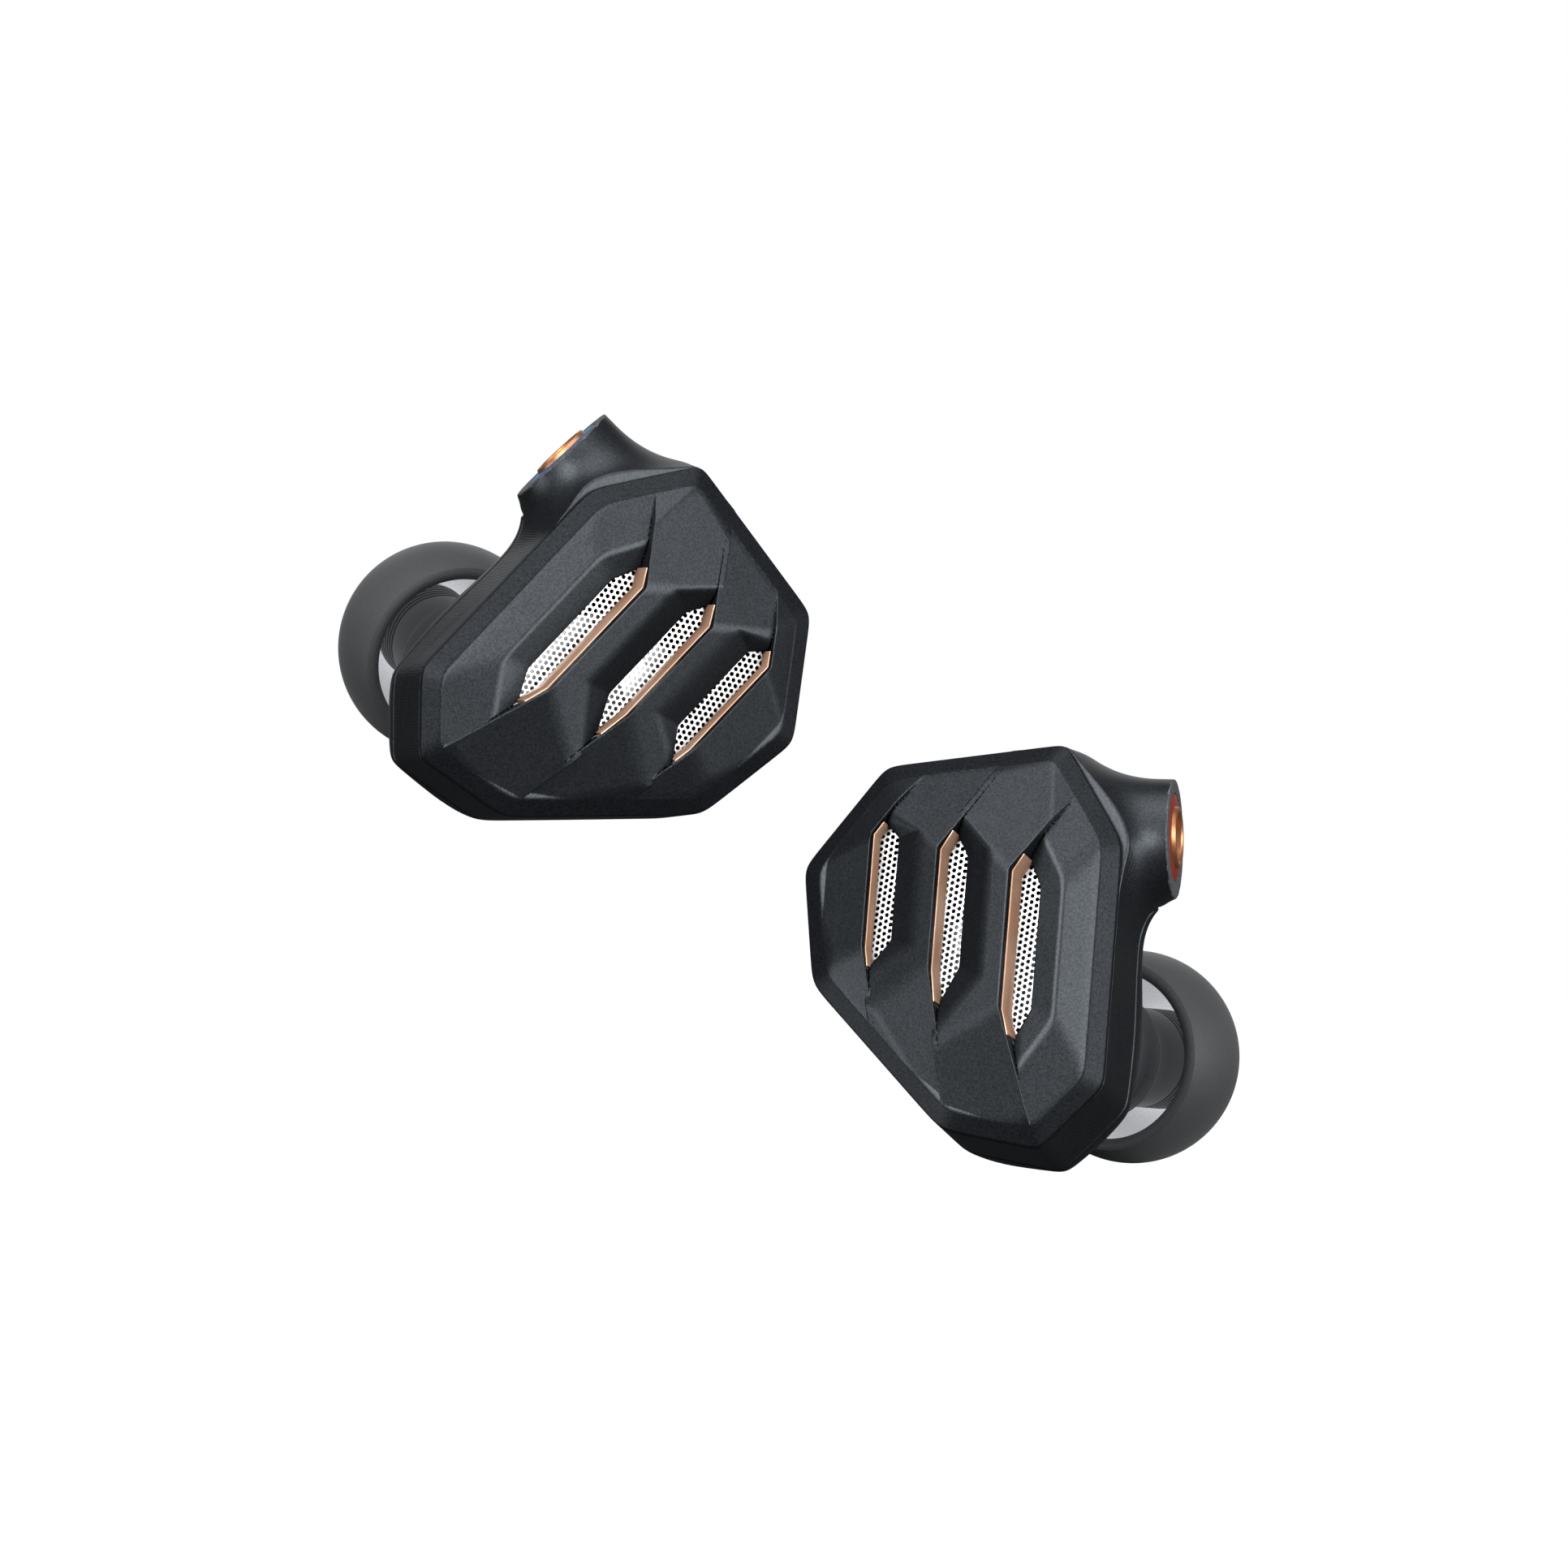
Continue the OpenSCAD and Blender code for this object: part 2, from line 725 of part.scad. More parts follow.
module driver_felt() {
    color([0.85, 0.85, 0.8])
        at_driver()
            translate([0, 0, -felt_thick]) cylinder(r = felt_r, h = felt_thick);
}

module voice_coil() {
    color([0.7, 0.4, 0.2])
        at_driver()
            tube(coil_r + coil_thick, coil_r, yoke_depth - plate_thick - 0.2, film_depth);
}

// A formed film: a dome over the coil, a flat land, a half-round roll and an edge
module diaphragm() {
    land = coil_r + coil_thick + 0.1;
    edge_r = driver_r - basket_wall - 0.15;
    roll_at = edge_r - 0.1 - roll_r;
    curve_r = (land * land + dome_height * dome_height) / (2 * dome_height);
    steps = 8;
    turn = asin(land / curve_r) / steps;
    dome_line = [
        for (i = [0 : steps])
            [curve_r * sin(i * turn), film_depth + dome_height - curve_r * (1 - cos(i * turn))]
    ];
    roll_line = [
        for (i = [0 : steps])
            let (angle = 180 * i / steps)
            [roll_at - roll_r * cos(angle), film_depth + roll_r * roll_flat * sin(angle)]
    ];
    line = concat(dome_line, roll_line, [[edge_r, film_depth]]);
    back = [for (i = [len(line) - 1 : -1 : 0]) line[i] + [0, film]];
    color([0.78, 0.72, 0.5])
        at_driver()
            rotate_extrude()
                polygon(concat(line, back));
}

// ---- Treble driver, crossover and wires ----

module treble_driver() {
    color([0.72, 0.72, 0.74])
        translate(treble_at - treble_size / 2) cube(treble_size);
}

// A straight rod between two points
module rod(from, to, r) {
    d = to - from;
    translate(from)
        rotate([0, acos(d.z / norm(d)), atan2(d.y, d.x)])
            cylinder(r = r, h = norm(d));
}

module sound_tube() {
    start = treble_at - [treble_size.x / 2 + 0.55, 0, 0];
    color([0.75, 0.8, 0.85])
        difference() {
            rod(start, tube_end, tube_r);
            rod(mix(start, tube_end, -0.1), mix(start, tube_end, 1.1), tube_r - tube_wall);
        }
}

module crossover_board() {
    color([0.1, 0.35, 0.2])
        translate(board_at - board_size / 2) cube(board_size);
}

module board_components() {
    color([0.6, 0.5, 0.35])
        for (i = [0 : len(part_places) - 1])
            translate([
                board_at.x + part_places[i].x - part_sizes[i].x / 2,
                board_at.y + part_places[i].y - part_sizes[i].y / 2,
                board_at.z + board_size.z / 2
            ])
                cube(part_sizes[i]);
}

module signal_wires() {
    color([0.75, 0.45, 0.2])
        for (wire = wires) rod(wire[0], wire[1], wire_r);
}

// ---- The pair ----

module place(side) {
    if (side == "left")
        rotate(left_turn) translate(-tip_centre) children();
    else
        translate(tips_apart) rotate(right_turn) mirror([1, 0, 0]) translate(-tip_centre) children();
}

ring_tints = [[0.05, 0.25, 0.5], [0.45, 0.1, 0.08]];

for (s = [0, 1]) {
    side = SIDES[s];
    place(side) faceplate();
    place(side) vent_mesh();
    place(side) vent_liner();
    place(side) faceplate_seal();
    place(side) side_frame();
    place(side) rear_shell();
    place(side) nozzle();
    place(side) nozzle_screen();
    place(side) nozzle_damper();
    place(side) ear_tip_dome();
    place(side) ear_tip_core();
    place(side) socket_housing();
    place(side) socket_barrel();
    place(side) socket_ring(ring_tints[s]);
    place(side) socket_insulator();
    place(side) socket_contact();
    place(side) driver_frame();
    place(side) driver_cover();
    place(side) driver_yoke();
    place(side) driver_magnet();
    place(side) driver_top_plate();
    place(side) driver_felt();
    place(side) voice_coil();
    place(side) diaphragm();
    place(side) treble_driver();
    place(side) sound_tube();
    place(side) crossover_board();
    place(side) board_components();
    place(side) signal_wires();
}
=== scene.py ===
"""Looks for a pair of in-ear monitors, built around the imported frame.

Each piece is worked out once in the earpiece's own frame, in millimetres: Z is the outward
normal of the faceplate, Y runs along the three slots and X across them. It is then placed
twice in the row frame, in metres, as the left and the mirrored right earpiece. The shells
and the faceplate are level surfaces of distance fields, so that their blends are smooth.
"""

import math

import bpy
import numpy as np
import openvdb
from mathutils import Euler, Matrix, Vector
from mathutils.geometry import delaunay_2d_cdt


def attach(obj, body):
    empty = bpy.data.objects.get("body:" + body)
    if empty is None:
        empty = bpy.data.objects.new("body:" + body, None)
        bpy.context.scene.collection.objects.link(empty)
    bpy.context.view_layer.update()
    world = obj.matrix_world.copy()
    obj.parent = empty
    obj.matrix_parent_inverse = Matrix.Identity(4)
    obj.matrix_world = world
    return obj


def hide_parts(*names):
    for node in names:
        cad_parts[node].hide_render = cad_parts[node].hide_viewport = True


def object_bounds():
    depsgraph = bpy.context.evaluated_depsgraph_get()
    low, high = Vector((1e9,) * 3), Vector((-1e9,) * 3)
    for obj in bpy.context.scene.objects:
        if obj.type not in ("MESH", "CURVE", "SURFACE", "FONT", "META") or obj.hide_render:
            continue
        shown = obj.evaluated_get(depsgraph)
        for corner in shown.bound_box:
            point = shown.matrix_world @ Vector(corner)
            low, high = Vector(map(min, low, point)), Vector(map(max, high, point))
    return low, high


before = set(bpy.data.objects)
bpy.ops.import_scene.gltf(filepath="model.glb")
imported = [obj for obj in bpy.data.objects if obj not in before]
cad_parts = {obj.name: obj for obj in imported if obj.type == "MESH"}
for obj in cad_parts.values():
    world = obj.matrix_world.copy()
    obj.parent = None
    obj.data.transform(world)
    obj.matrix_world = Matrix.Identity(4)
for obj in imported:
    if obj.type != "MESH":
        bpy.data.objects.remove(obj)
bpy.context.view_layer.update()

SIDES = ("left", "right")
MM = 0.001

# ---- Driving dimensions, as in the CAD source, in millimetres ----

TURN = {"left": (87, 45, 15.5), "right": (75.5, 0.5, -16)}
TIPS_APART = np.array([39.4, -0.8, -23.4])

RIM = [
    (-4.4, 11.7), (-8.1, 6.1), (-8.1, -8.3), (-4.6, -12.0),
    (1.3, -10.9), (9.5, -2.5), (10.5, 4.3), (6.1, 10.3),
]
TOP_LEFT, LEFT_HIGH, LEFT_LOW, LOW_LEFT, LOW, RIGHT_LOW, RIGHT_HIGH, TOP_RIGHT = range(8)
BEVEL_WIDTH = 1.0
BEVEL_RISE = 0.6
PLATE_EDGE = 0.4
BORDER_SLOPE = 0.7
MESH_OVERLAP = 0.3
LINER_DROP = 0.5
WALL_DEPTH = 5.3
WALL = 1.0
BOWL_DEPTH = 4.6
BOWL_DRAW = 5.0
BOSS_R = 3.7
NECK_R = 3.3
NECK_LENGTH = 7.0
RING_R = 2.5
RING_DEPTH = 1.2
BARREL_R = 1.8
SOCKET_R = 1.4
INNER_R = SOCKET_R - 0.4
SOCKET_FREE = 1.5
SOCKET_DEPTH = 4.4
BARREL_PROUD = 0.25
DOME_R = 6.1
DOME_SKIN = 0.6
DOME_BACK = 2.7
STEM_R = 2.85
STEM_BORE = 2.45
OUTLET_R = 2.0
STEM_GAP = 0.15
NOZZLE_R = 2.2
NOZZLE_OUT = 3.6
BOSS_END = -DOME_BACK - 0.65

# The straight middles of the lips, the chamfers' outer lines and the slots' inner lines:
# their X, the two ends in Y, and their height
LIP_X = (-2.4, 2.0, 6.2)
LIP_Y = ((3.7, -4.4), (5.0, -2.1), (6.0, -0.7))
LIP_Z = (2.8, 2.5, 1.8)
CHAMFER_X = (-5.3, -1.0, 3.3)
CHAMFER_Y = ((3.4, -4.8), (5.0, -2.5), (6.1, -0.7))
CHAMFER_Z = (1.5, 2.4, 2.0)
SLOT_X = (-3.8, 0.6, 4.8)
SLOT_Y = ((3.1, -4.1), (4.8, -1.7), (5.9, -0.1))
SLOT_Z = (1.0, 1.1, 0.9)
SLOT_TOP_PART = 0.78
SLOT_LOW_PART = 0.24
MESH_Z = (0.8, 0.8, 0.6)
MESH_TILT = (0, 0, 9)

NECK_END = np.array([-9.8, 7.6, -5.1])
TIP_CENTRE = np.array([-4.4, -1.9, -18.8])


def axis_of(tilt, swing):
    tilt, swing = math.radians(tilt), math.radians(swing)
    return np.array([math.sin(tilt) * math.cos(swing), math.sin(tilt) * math.sin(swing), math.cos(tilt)])


NECK_AXIS = axis_of(97, 177)
TIP_AXIS = axis_of(162.5, 138)

# ---- Small geometry helpers, in millimetres ----


def unit(v):
    return np.asarray(v, float) / np.linalg.norm(v)


def mix(p, q, part):
    return np.asarray(p, float) + (np.asarray(q, float) - np.asarray(p, float)) * part


def inset(outline, d):
    """A convex anticlockwise outline with every edge moved inwards by d."""
    points = [np.array(p, float) for p in outline]
    moved = []
    for i, corner in enumerate(points):
        before, after = points[i - 1], points[(i + 1) % len(points)]
        a, b = unit(corner - before), unit(after - corner)
        n, m = np.array([-a[1], a[0]]), np.array([-b[1], b[0]])
        moved.append(corner + (n + m) * d / (1 + n @ m))
    return moved


def smooth_max(a, b, k):
    """The larger of two fields, with the crease between them rounded over a width of k."""
    h = np.maximum(k - np.abs(a - b), 0) / k
    return np.maximum(a, b) + h * h * (k / 4)


def smooth_min(a, b, k):
    return -smooth_max(-a, -b, k)


def outline_distance(outline, x, y, k):
    """Distance outside a convex outline, negative inside, its corners rounded by k."""
    points = [np.array(p, float) for p in outline]
    edges = []
    for i, p in enumerate(points):
        along = unit(points[(i + 1) % len(points)] - p)
        edges.append((x - p[0]) * along[1] - (y - p[1]) * along[0])
    top = np.maximum.reduce(edges)
    return top + k * np.log(sum(np.exp((edge - top) / k) for edge in edges))


def above_plane(points, x, y, z):
    """Distance above the plane through three points."""
    a, b, c = (np.array(p, float) for p in points)
    n = unit(np.cross(b - a, c - a))
    n = -n if n[2] < 0 else n
    return (x - a[0]) * n[0] + (y - a[1]) * n[1] + (z - a[2]) * n[2]


def along_and_off(centre, axis, x, y, z):
    """Place along an axis from a centre, and distance from the axis."""
    dx, dy, dz = x - centre[0], y - centre[1], z - centre[2]
    t = dx * axis[0] + dy * axis[1] + dz * axis[2]
    off = np.sqrt(np.maximum(dx * dx + dy * dy + dz * dz - t * t, 1e-12))
    return t, off


def level_surface(field, low, high, step):
    """Points, faces and outward normals of the surface where field(x, y, z) is 0."""
    axes = [np.arange(a, b + step, step, dtype=np.float32) for a, b in zip(low, high)]
    x, y, z = axes[0][:, None, None], axes[1][None, :, None], axes[2][None, None, :]
    values = np.broadcast_to(field(x, y, z), [len(a) for a in axes]).astype(np.float32)
    grid = openvdb.FloatGrid(4 * step)
    grid.copyFromArray(np.ascontiguousarray(np.clip(values, -4 * step, 4 * step)))
    points, triangles, quads = grid.convertToPolygons(0.0, ADAPTIVITY)
    points = points.astype(float) * step + np.array([a[0] for a in axes])
    for _ in range(2):
        value, slope = field_and_slope(field, points, step / 4)
        size = np.maximum((slope**2).sum(1, keepdims=True), 0.3)
        points = points - np.clip(value[:, None] * slope / size, -step / 2, step / 2)
    _, slope = field_and_slope(field, points, step / 4)
    normals = slope / np.maximum(np.linalg.norm(slope, axis=1, keepdims=True), 1e-9)
    faces = [tuple(f) for f in triangles.tolist()] + [tuple(f) for f in quads.tolist()]
    return points, turned_outwards(points, faces, normals), normals


def field_and_slope(field, points, h):
    x, y, z = points.T
    value = field(x, y, z)
    slope = np.stack(
        [
            field(x + h, y, z) - field(x - h, y, z),
            field(x, y + h, z) - field(x, y - h, z),
            field(x, y, z + h) - field(x, y, z - h),
        ],
        axis=1,
    ) / (2 * h)
    return value, slope


def turned_outwards(points, faces, normals):
    """The faces in the order that makes their normals agree with the outward ones."""
    some = faces[:: max(1, len(faces) // 500)]
    agree = 0
    for f in some:
        n = np.cross(points[f[1]] - points[f[0]], points[f[2]] - points[f[0]])
        agree += 1 if n @ normals[f[0]] > 0 else -1
    return faces if agree > 0 else [f[::-1] for f in faces]


def revolved(profile, segments=128):
    """A closed profile of (radius, height) points turned about Z, with outward faces."""
    profile = list(profile)
    n = len(profile)
    points = [
        (r * math.cos(2 * math.pi * s / segments), r * math.sin(2 * math.pi * s / segments), h)
        for s in range(segments)
        for r, h in profile
    ]
    faces = [
        (s * n + i, (s + 1) % segments * n + i, (s + 1) % segments * n + (i + 1) % n, s * n + (i + 1) % n)
        for s in range(segments)
        for i in range(n)
    ]
    area = sum(
        profile[i][0] * profile[(i + 1) % n][1] - profile[(i + 1) % n][0] * profile[i][1] for i in range(n)
    )
    return np.array(points), faces if area > 0 else [f[::-1] for f in faces]


def arc(centre, radius, start, end, steps):
    """Points of an arc in a profile, angles in degrees from the radius axis."""
    angles = [math.radians(start + (end - start) * i / steps) for i in range(steps + 1)]
    return [(centre[0] + radius * math.cos(a), centre[1] + radius * math.sin(a)) for a in angles]


def softened(profile, radius, steps=3, keep=()):
    """A closed profile with each sharp corner replaced by a small arc, as wide as fits."""
    points = [np.array(p, float) for p in profile]
    out = []
    for i, p in enumerate(points):
        a, b = points[i - 1] - p, points[(i + 1) % len(points)] - p
        la, lb = np.linalg.norm(a), np.linalg.norm(b)
        turn = math.pi - math.acos(np.clip(a @ b / (la * lb), -1, 1))
        if i in keep or turn < 0.35:
            out.append(tuple(p))
            continue
        cut = min(radius * math.tan(turn / 2), 0.45 * la, 0.45 * lb)
        start, end = p + a / la * cut, p + b / lb * cut
        for s in range(steps + 1):
            t = s / steps
            out.append(tuple((1 - t) ** 2 * start + 2 * t * (1 - t) * p + t * t * end))
    return out


def on_axis(points, centre, axis):
    """Points of a revolved piece, moved from its own Z to an axis of the earpiece."""
    turn = Vector((0, 0, 1)).rotation_difference(Vector(axis)).to_matrix()
    return np.asarray(points) @ np.array(turn).T + centre


# ---- Putting a piece in both earpieces ----


def turn_of(side):
    turn = np.array(Euler([math.radians(a) for a in TURN[side]], "XYZ").to_matrix())
    return turn if side == "left" else turn @ np.diag([-1.0, 1.0, 1.0])


def place(points, side):
    moved = (np.asarray(points, float) - TIP_CENTRE) @ turn_of(side).T
    return (moved + (TIPS_APART if side == "right" else 0)) * MM


def make_object(name, points, faces, normals=None, face_materials=None, materials=(), sharp=0.6):
    mesh = bpy.data.meshes.new(name)
    mesh.from_pydata([tuple(p) for p in points], [], faces)
    mesh.update()
    mesh.polygons.foreach_set("use_smooth", [True] * len(mesh.polygons))
    for material in materials:
        mesh.materials.append(material)
    if face_materials is not None:
        mesh.polygons.foreach_set("material_index", np.asarray(face_materials, np.int32))
    if normals is not None:
        mesh.normals_split_custom_set_from_vertices([tuple(n) for n in normals])
    elif sharp:
        mesh.set_sharp_from_angle(angle=sharp)
    obj = bpy.data.objects.new(name, mesh)
    bpy.context.scene.collection.objects.link(obj)
    return obj


# Bright pieces in the slots, kept from mirroring in the slots' dark walls
UNREFLECTED = ("vent_mesh", "vent_liner")


def both(piece, made, materials, body="earpiece", replaces=None, wall=None):
    """Places one piece, made as (points, faces, normals, face materials), in both earpieces."""
    points, faces, normals, face_materials = made
    for side in SIDES:
        mirrored = side == "right"
        obj = make_object(
            f"{side}_{piece}_looks",
            place(points, side),
            [f[::-1] for f in faces] if mirrored else faces,
            None if normals is None else np.asarray(normals) @ turn_of(side).T,
            face_materials,
            [m[side] if isinstance(m, dict) else m for m in materials],
        )
        if wall is not None:
            attribute = obj.data.attributes.new("wall", "FLOAT_VECTOR", "POINT")
            attribute.data.foreach_set("vector", np.asarray(wall, np.float32).ravel())
        obj.visible_glossy = piece not in UNREFLECTED
        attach(obj, f"{side}_{body}")
        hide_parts(*[f"{side}_{node}" for node in (replaces or [piece])])


# ---- The faceplate's field ----

CROWN = inset(RIM, BEVEL_WIDTH)
LIP_TOPS = [
    mix(CROWN[TOP_LEFT], CROWN[LEFT_HIGH], 0.45),
    mix(CROWN[TOP_LEFT], CROWN[TOP_RIGHT], 0.3),
    mix(CROWN[TOP_LEFT], CROWN[TOP_RIGHT], 0.8),
]
LIP_LOWS = [CROWN[LOW_LEFT], CROWN[LOW], mix(CROWN[RIGHT_LOW], CROWN[LOW], 0.4)]
LIPS = [
    [LIP_TOPS[i], np.array([LIP_X[i], LIP_Y[i][0]]), np.array([LIP_X[i], LIP_Y[i][1]]), LIP_LOWS[i]]
    for i in range(3)
]


def slot_top(i):
    return mix(LIPS[i][0], LIPS[i][1], SLOT_TOP_PART)


def slot_low(i):
    return mix(LIPS[i][2], LIPS[i][3], SLOT_LOW_PART)


def slot_outline(i):
    """A slot's outline, anticlockwise: its inner line, then back up along the lip."""
    inner = [(SLOT_X[i], SLOT_Y[i][0]), (SLOT_X[i], SLOT_Y[i][1])]
    return [np.array(p, float) for p in inner] + [slot_low(i), LIPS[i][2], LIPS[i][1], slot_top(i)]


def at(p, z):
    return (p[0], p[1], z)


def lip_at(i, e):
    return (LIP_X[i], LIP_Y[i][e], LIP_Z[i])


def chamfer_at(i, e):
    return (CHAMFER_X[i], CHAMFER_Y[i][e], CHAMFER_Z[i])


def slot_at(i, e):
    return (SLOT_X[i], SLOT_Y[i][e], SLOT_Z[i])


def border(i):
    return at(CROWN[i], BEVEL_RISE)


def border_mid(p, q):
    return at(mix(p, q, 0.5), BEVEL_RISE)


def facet_foot(i):
    return (CHAMFER_X[i + 1], LIP_Y[i][1] - 0.7, CHAMFER_Z[i + 1])


# The upper, middle and lower facet of each panel, each by three of its points
FACETS = [
    [
        [border(LEFT_HIGH), at(LIPS[0][0], BEVEL_RISE), chamfer_at(0, 0)],
        [border(LEFT_HIGH), border(LEFT_LOW), chamfer_at(0, 0)],
        [border(LEFT_LOW), border(LOW_LEFT), chamfer_at(0, 1)],
    ],
    [
        [lip_at(0, 0), chamfer_at(1, 0), border(TOP_LEFT)],
        [lip_at(0, 0), lip_at(0, 1), chamfer_at(1, 0)],
        [lip_at(0, 1), facet_foot(0), border_mid(CROWN[LOW_LEFT], CROWN[LOW])],
    ],
    [
        [lip_at(1, 0), chamfer_at(2, 0), border_mid(LIPS[1][0], LIPS[2][0])],
        [lip_at(1, 0), lip_at(1, 1), chamfer_at(2, 0)],
        [lip_at(1, 1), facet_foot(1), border_mid(CROWN[LOW], LIPS[2][3])],
    ],
    [
        [lip_at(2, 0), border(RIGHT_HIGH), border(TOP_RIGHT)],
        [lip_at(2, 0), lip_at(2, 1), border_mid(CROWN[RIGHT_HIGH], CROWN[RIGHT_LOW])],
        [lip_at(2, 1), border(RIGHT_LOW), at(LIPS[2][3], BEVEL_RISE)],
    ],
]

# Softness of the creases between facets, of a chamfer's outer line, of the chamfer's own
# creases, and of crisp edges
RIDGE_SOFT = 0.18
CHAMFER_SOFT = 0.15
PIT_SOFT = 0.05
EDGE_SOFT = 0.08
CORNER_SOFT = 0.2
# The gap under a lip beyond its slot: its width beside the slot and its depth
GAP_WIDTH = 0.09
GAP_DEPTH = 0.6
# How far a panel runs on under its neighbour's lip
PANEL_LAP = 0.3


def chamfers(i):
    return [
        [slot_at(i, 0), at(slot_top(i), SLOT_Z[i]), chamfer_at(i, 0)],
        [slot_at(i, 0), slot_at(i, 1), chamfer_at(i, 0)],
        [slot_at(i, 1), at(slot_low(i), SLOT_Z[i]), chamfer_at(i, 1)],
    ]


def beyond_lip(i, x, y):
    """Distance past a lip's line towards +X, with the line's end runs carried on straight."""
    line = [np.array(p, float) for p in LIPS[i]]
    off = None
    for a, b in zip(line[:-1], line[1:]):
        along = unit(b - a)
        here = (x - a[0]) * -along[1] + (y - a[1]) * along[0]
        low = b[1] if b is not line[-1] else -math.inf
        high = a[1] if a is not line[0] else math.inf
        inside = (y <= high) & (y > low)
        off = np.where(inside, here, 0) + (0 if off is None else off)
    return off


def gap_width(i, y):
    """Half width of the gap under a lip, which tapers from the slot's ends to the border."""
    top, low = slot_top(i)[1], slot_low(i)[1]
    up = np.clip((LIPS[i][0][1] - y) / (LIPS[i][0][1] - top), 0, 1)
    down = np.clip(2 * (y - LIPS[i][3][1]) / (low - LIPS[i][3][1]) - 1, 0, 1)
    return GAP_WIDTH / 2 * np.where(y > top, up, np.where(y < low, down, 1))


def panel_top(k, rim, x, y, z):
    """Distance above a panel's own facets, border slope and slot chamfers."""
    top = above_plane(FACETS[k][0], x, y, z)
    for facet in FACETS[k][1:]:
        top = smooth_max(top, above_plane(facet, x, y, z), RIDGE_SOFT)
    slope = (z - BEVEL_RISE - BORDER_SLOPE * (-rim - BEVEL_WIDTH)) / math.hypot(1, BORDER_SLOPE)
    top = smooth_max(top, slope, EDGE_SOFT)
    if k < 3:
        pit = None
        for chamfer in chamfers(k):
            plane = above_plane(chamfer, x, y, z)
            pit = plane if pit is None else smooth_min(pit, plane, PIT_SOFT)
        top = smooth_max(top, pit, CHAMFER_SOFT)
    return top


def faceplate_field(x, y, z):
    rim = outline_distance(RIM, x, y, CORNER_SOFT)
    bevel = (z + BEVEL_RISE / BEVEL_WIDTH * rim) / math.hypot(1, BEVEL_RISE / BEVEL_WIDTH)
    past = [beyond_lip(i, x, y) for i in range(3)]
    tops = [panel_top(k, rim, x, y, z) for k in range(4)]
    solid = smooth_max(bevel, z - BEVEL_RISE, EDGE_SOFT)
    for k, top in enumerate(tops):
        panel = top
        if k > 0:
            panel = smooth_max(panel, -past[k - 1], EDGE_SOFT)
        if k < 3:
            panel = np.maximum(panel, past[k] - PANEL_LAP)
            width = gap_width(k, y)
            gap = np.maximum(np.abs(past[k] + width) - width, -top - GAP_DEPTH)
            panel = np.maximum(panel, -gap)
        solid = np.minimum(solid, panel)
    solid = smooth_max(solid, smooth_max(rim, -z - PLATE_EDGE, EDGE_SOFT), EDGE_SOFT)
    for i in range(3):
        solid = smooth_max(solid, -outline_distance(slot_outline(i), x, y, 0.03), EDGE_SOFT)
    return solid


# ---- The shell's field ----

NECK_BLEND = 3.2
BOSS_BLEND = 4.6
BOWL_POWER = 2.4
SEAM_GAP = 0.05


def bowl_field(x, y, z, shrink):
    """The side wall and the bowl behind it, all inset by shrink."""
    rim = outline_distance(RIM, x, y, CORNER_SOFT) + shrink
    softer = outline_distance(RIM, x, y, 0.9) + shrink + 0.1
    deep = np.clip(-(z + WALL_DEPTH) / BOWL_DEPTH, 0, 1)
    rim = rim + (softer - rim) * deep * deep * (3 - 2 * deep)
    draw, depth = BOWL_DRAW - shrink, BOWL_DEPTH - shrink
    a = np.maximum(draw + rim, 0) / draw
    b = np.maximum(-(z + WALL_DEPTH), 0) / depth
    return ((a**BOWL_POWER + b**BOWL_POWER + 1e-9) ** (1 / BOWL_POWER) - 1) * draw


def shell_field(x, y, z):
    """The whole shell's outer form: side wall, bowl, socket neck and nozzle boss."""
    body = smooth_max(bowl_field(x, y, z, 0), z + PLATE_EDGE, EDGE_SOFT)
    t, off = along_and_off(NECK_END, NECK_AXIS, x, y, z)
    neck = np.maximum(off - NECK_R - 0.03 * np.maximum(-t, 0), -t - NECK_LENGTH)
    w, off_tip = along_and_off(TIP_CENTRE, TIP_AXIS, x, y, z)
    boss = np.maximum(off_tip - BOSS_R, -w + BOSS_END - 8)
    solid = smooth_min(body, neck, NECK_BLEND)
    solid = smooth_min(solid, boss, BOSS_BLEND)
    solid = smooth_max(solid, z + PLATE_EDGE, EDGE_SOFT)
    solid = smooth_max(solid, t, EDGE_SOFT)
    return smooth_max(solid, w - BOSS_END, 0.25)


def seam_field(x, y, z):
    """Distance in front of the seam; the socket neck belongs to the side frame."""
    t, off = along_and_off(NECK_END, NECK_AXIS, x, y, z)
    neck = smooth_max(off - NECK_R - 0.7, -t - 3.4, 0.5)
    return -smooth_min(-(z + WALL_DEPTH), neck, 0.6)


def side_frame_field(x, y, z):
    t, off = along_and_off(NECK_END, NECK_AXIS, x, y, z)
    solid = smooth_max(shell_field(x, y, z), -seam_field(x, y, z), 0.2)
    solid = smooth_max(solid, -bowl_field(x, y, z, WALL), 0.1)
    solid = np.maximum(solid, -np.maximum(off - BARREL_R, -t - NECK_LENGTH - 1))
    return smooth_max(solid, -smooth_max(off - RING_R, -t - RING_DEPTH, 0.05), 0.06)


def rear_shell_field(x, y, z):
    w, off = along_and_off(TIP_CENTRE, TIP_AXIS, x, y, z)
    solid = smooth_max(shell_field(x, y, z), seam_field(x, y, z) + SEAM_GAP, 0.2)
    solid = smooth_max(solid, -bowl_field(x, y, z, WALL), 0.1)
    bore = np.maximum(off - NOZZLE_R, -w + BOSS_END - 9)
    return np.maximum(solid, -bore)


# ---- Materials ----


def new_material(name):
    material = bpy.data.materials.new(name)
    material.use_nodes = True
    tree = material.node_tree
    return material, tree, tree.nodes["Principled BSDF"]


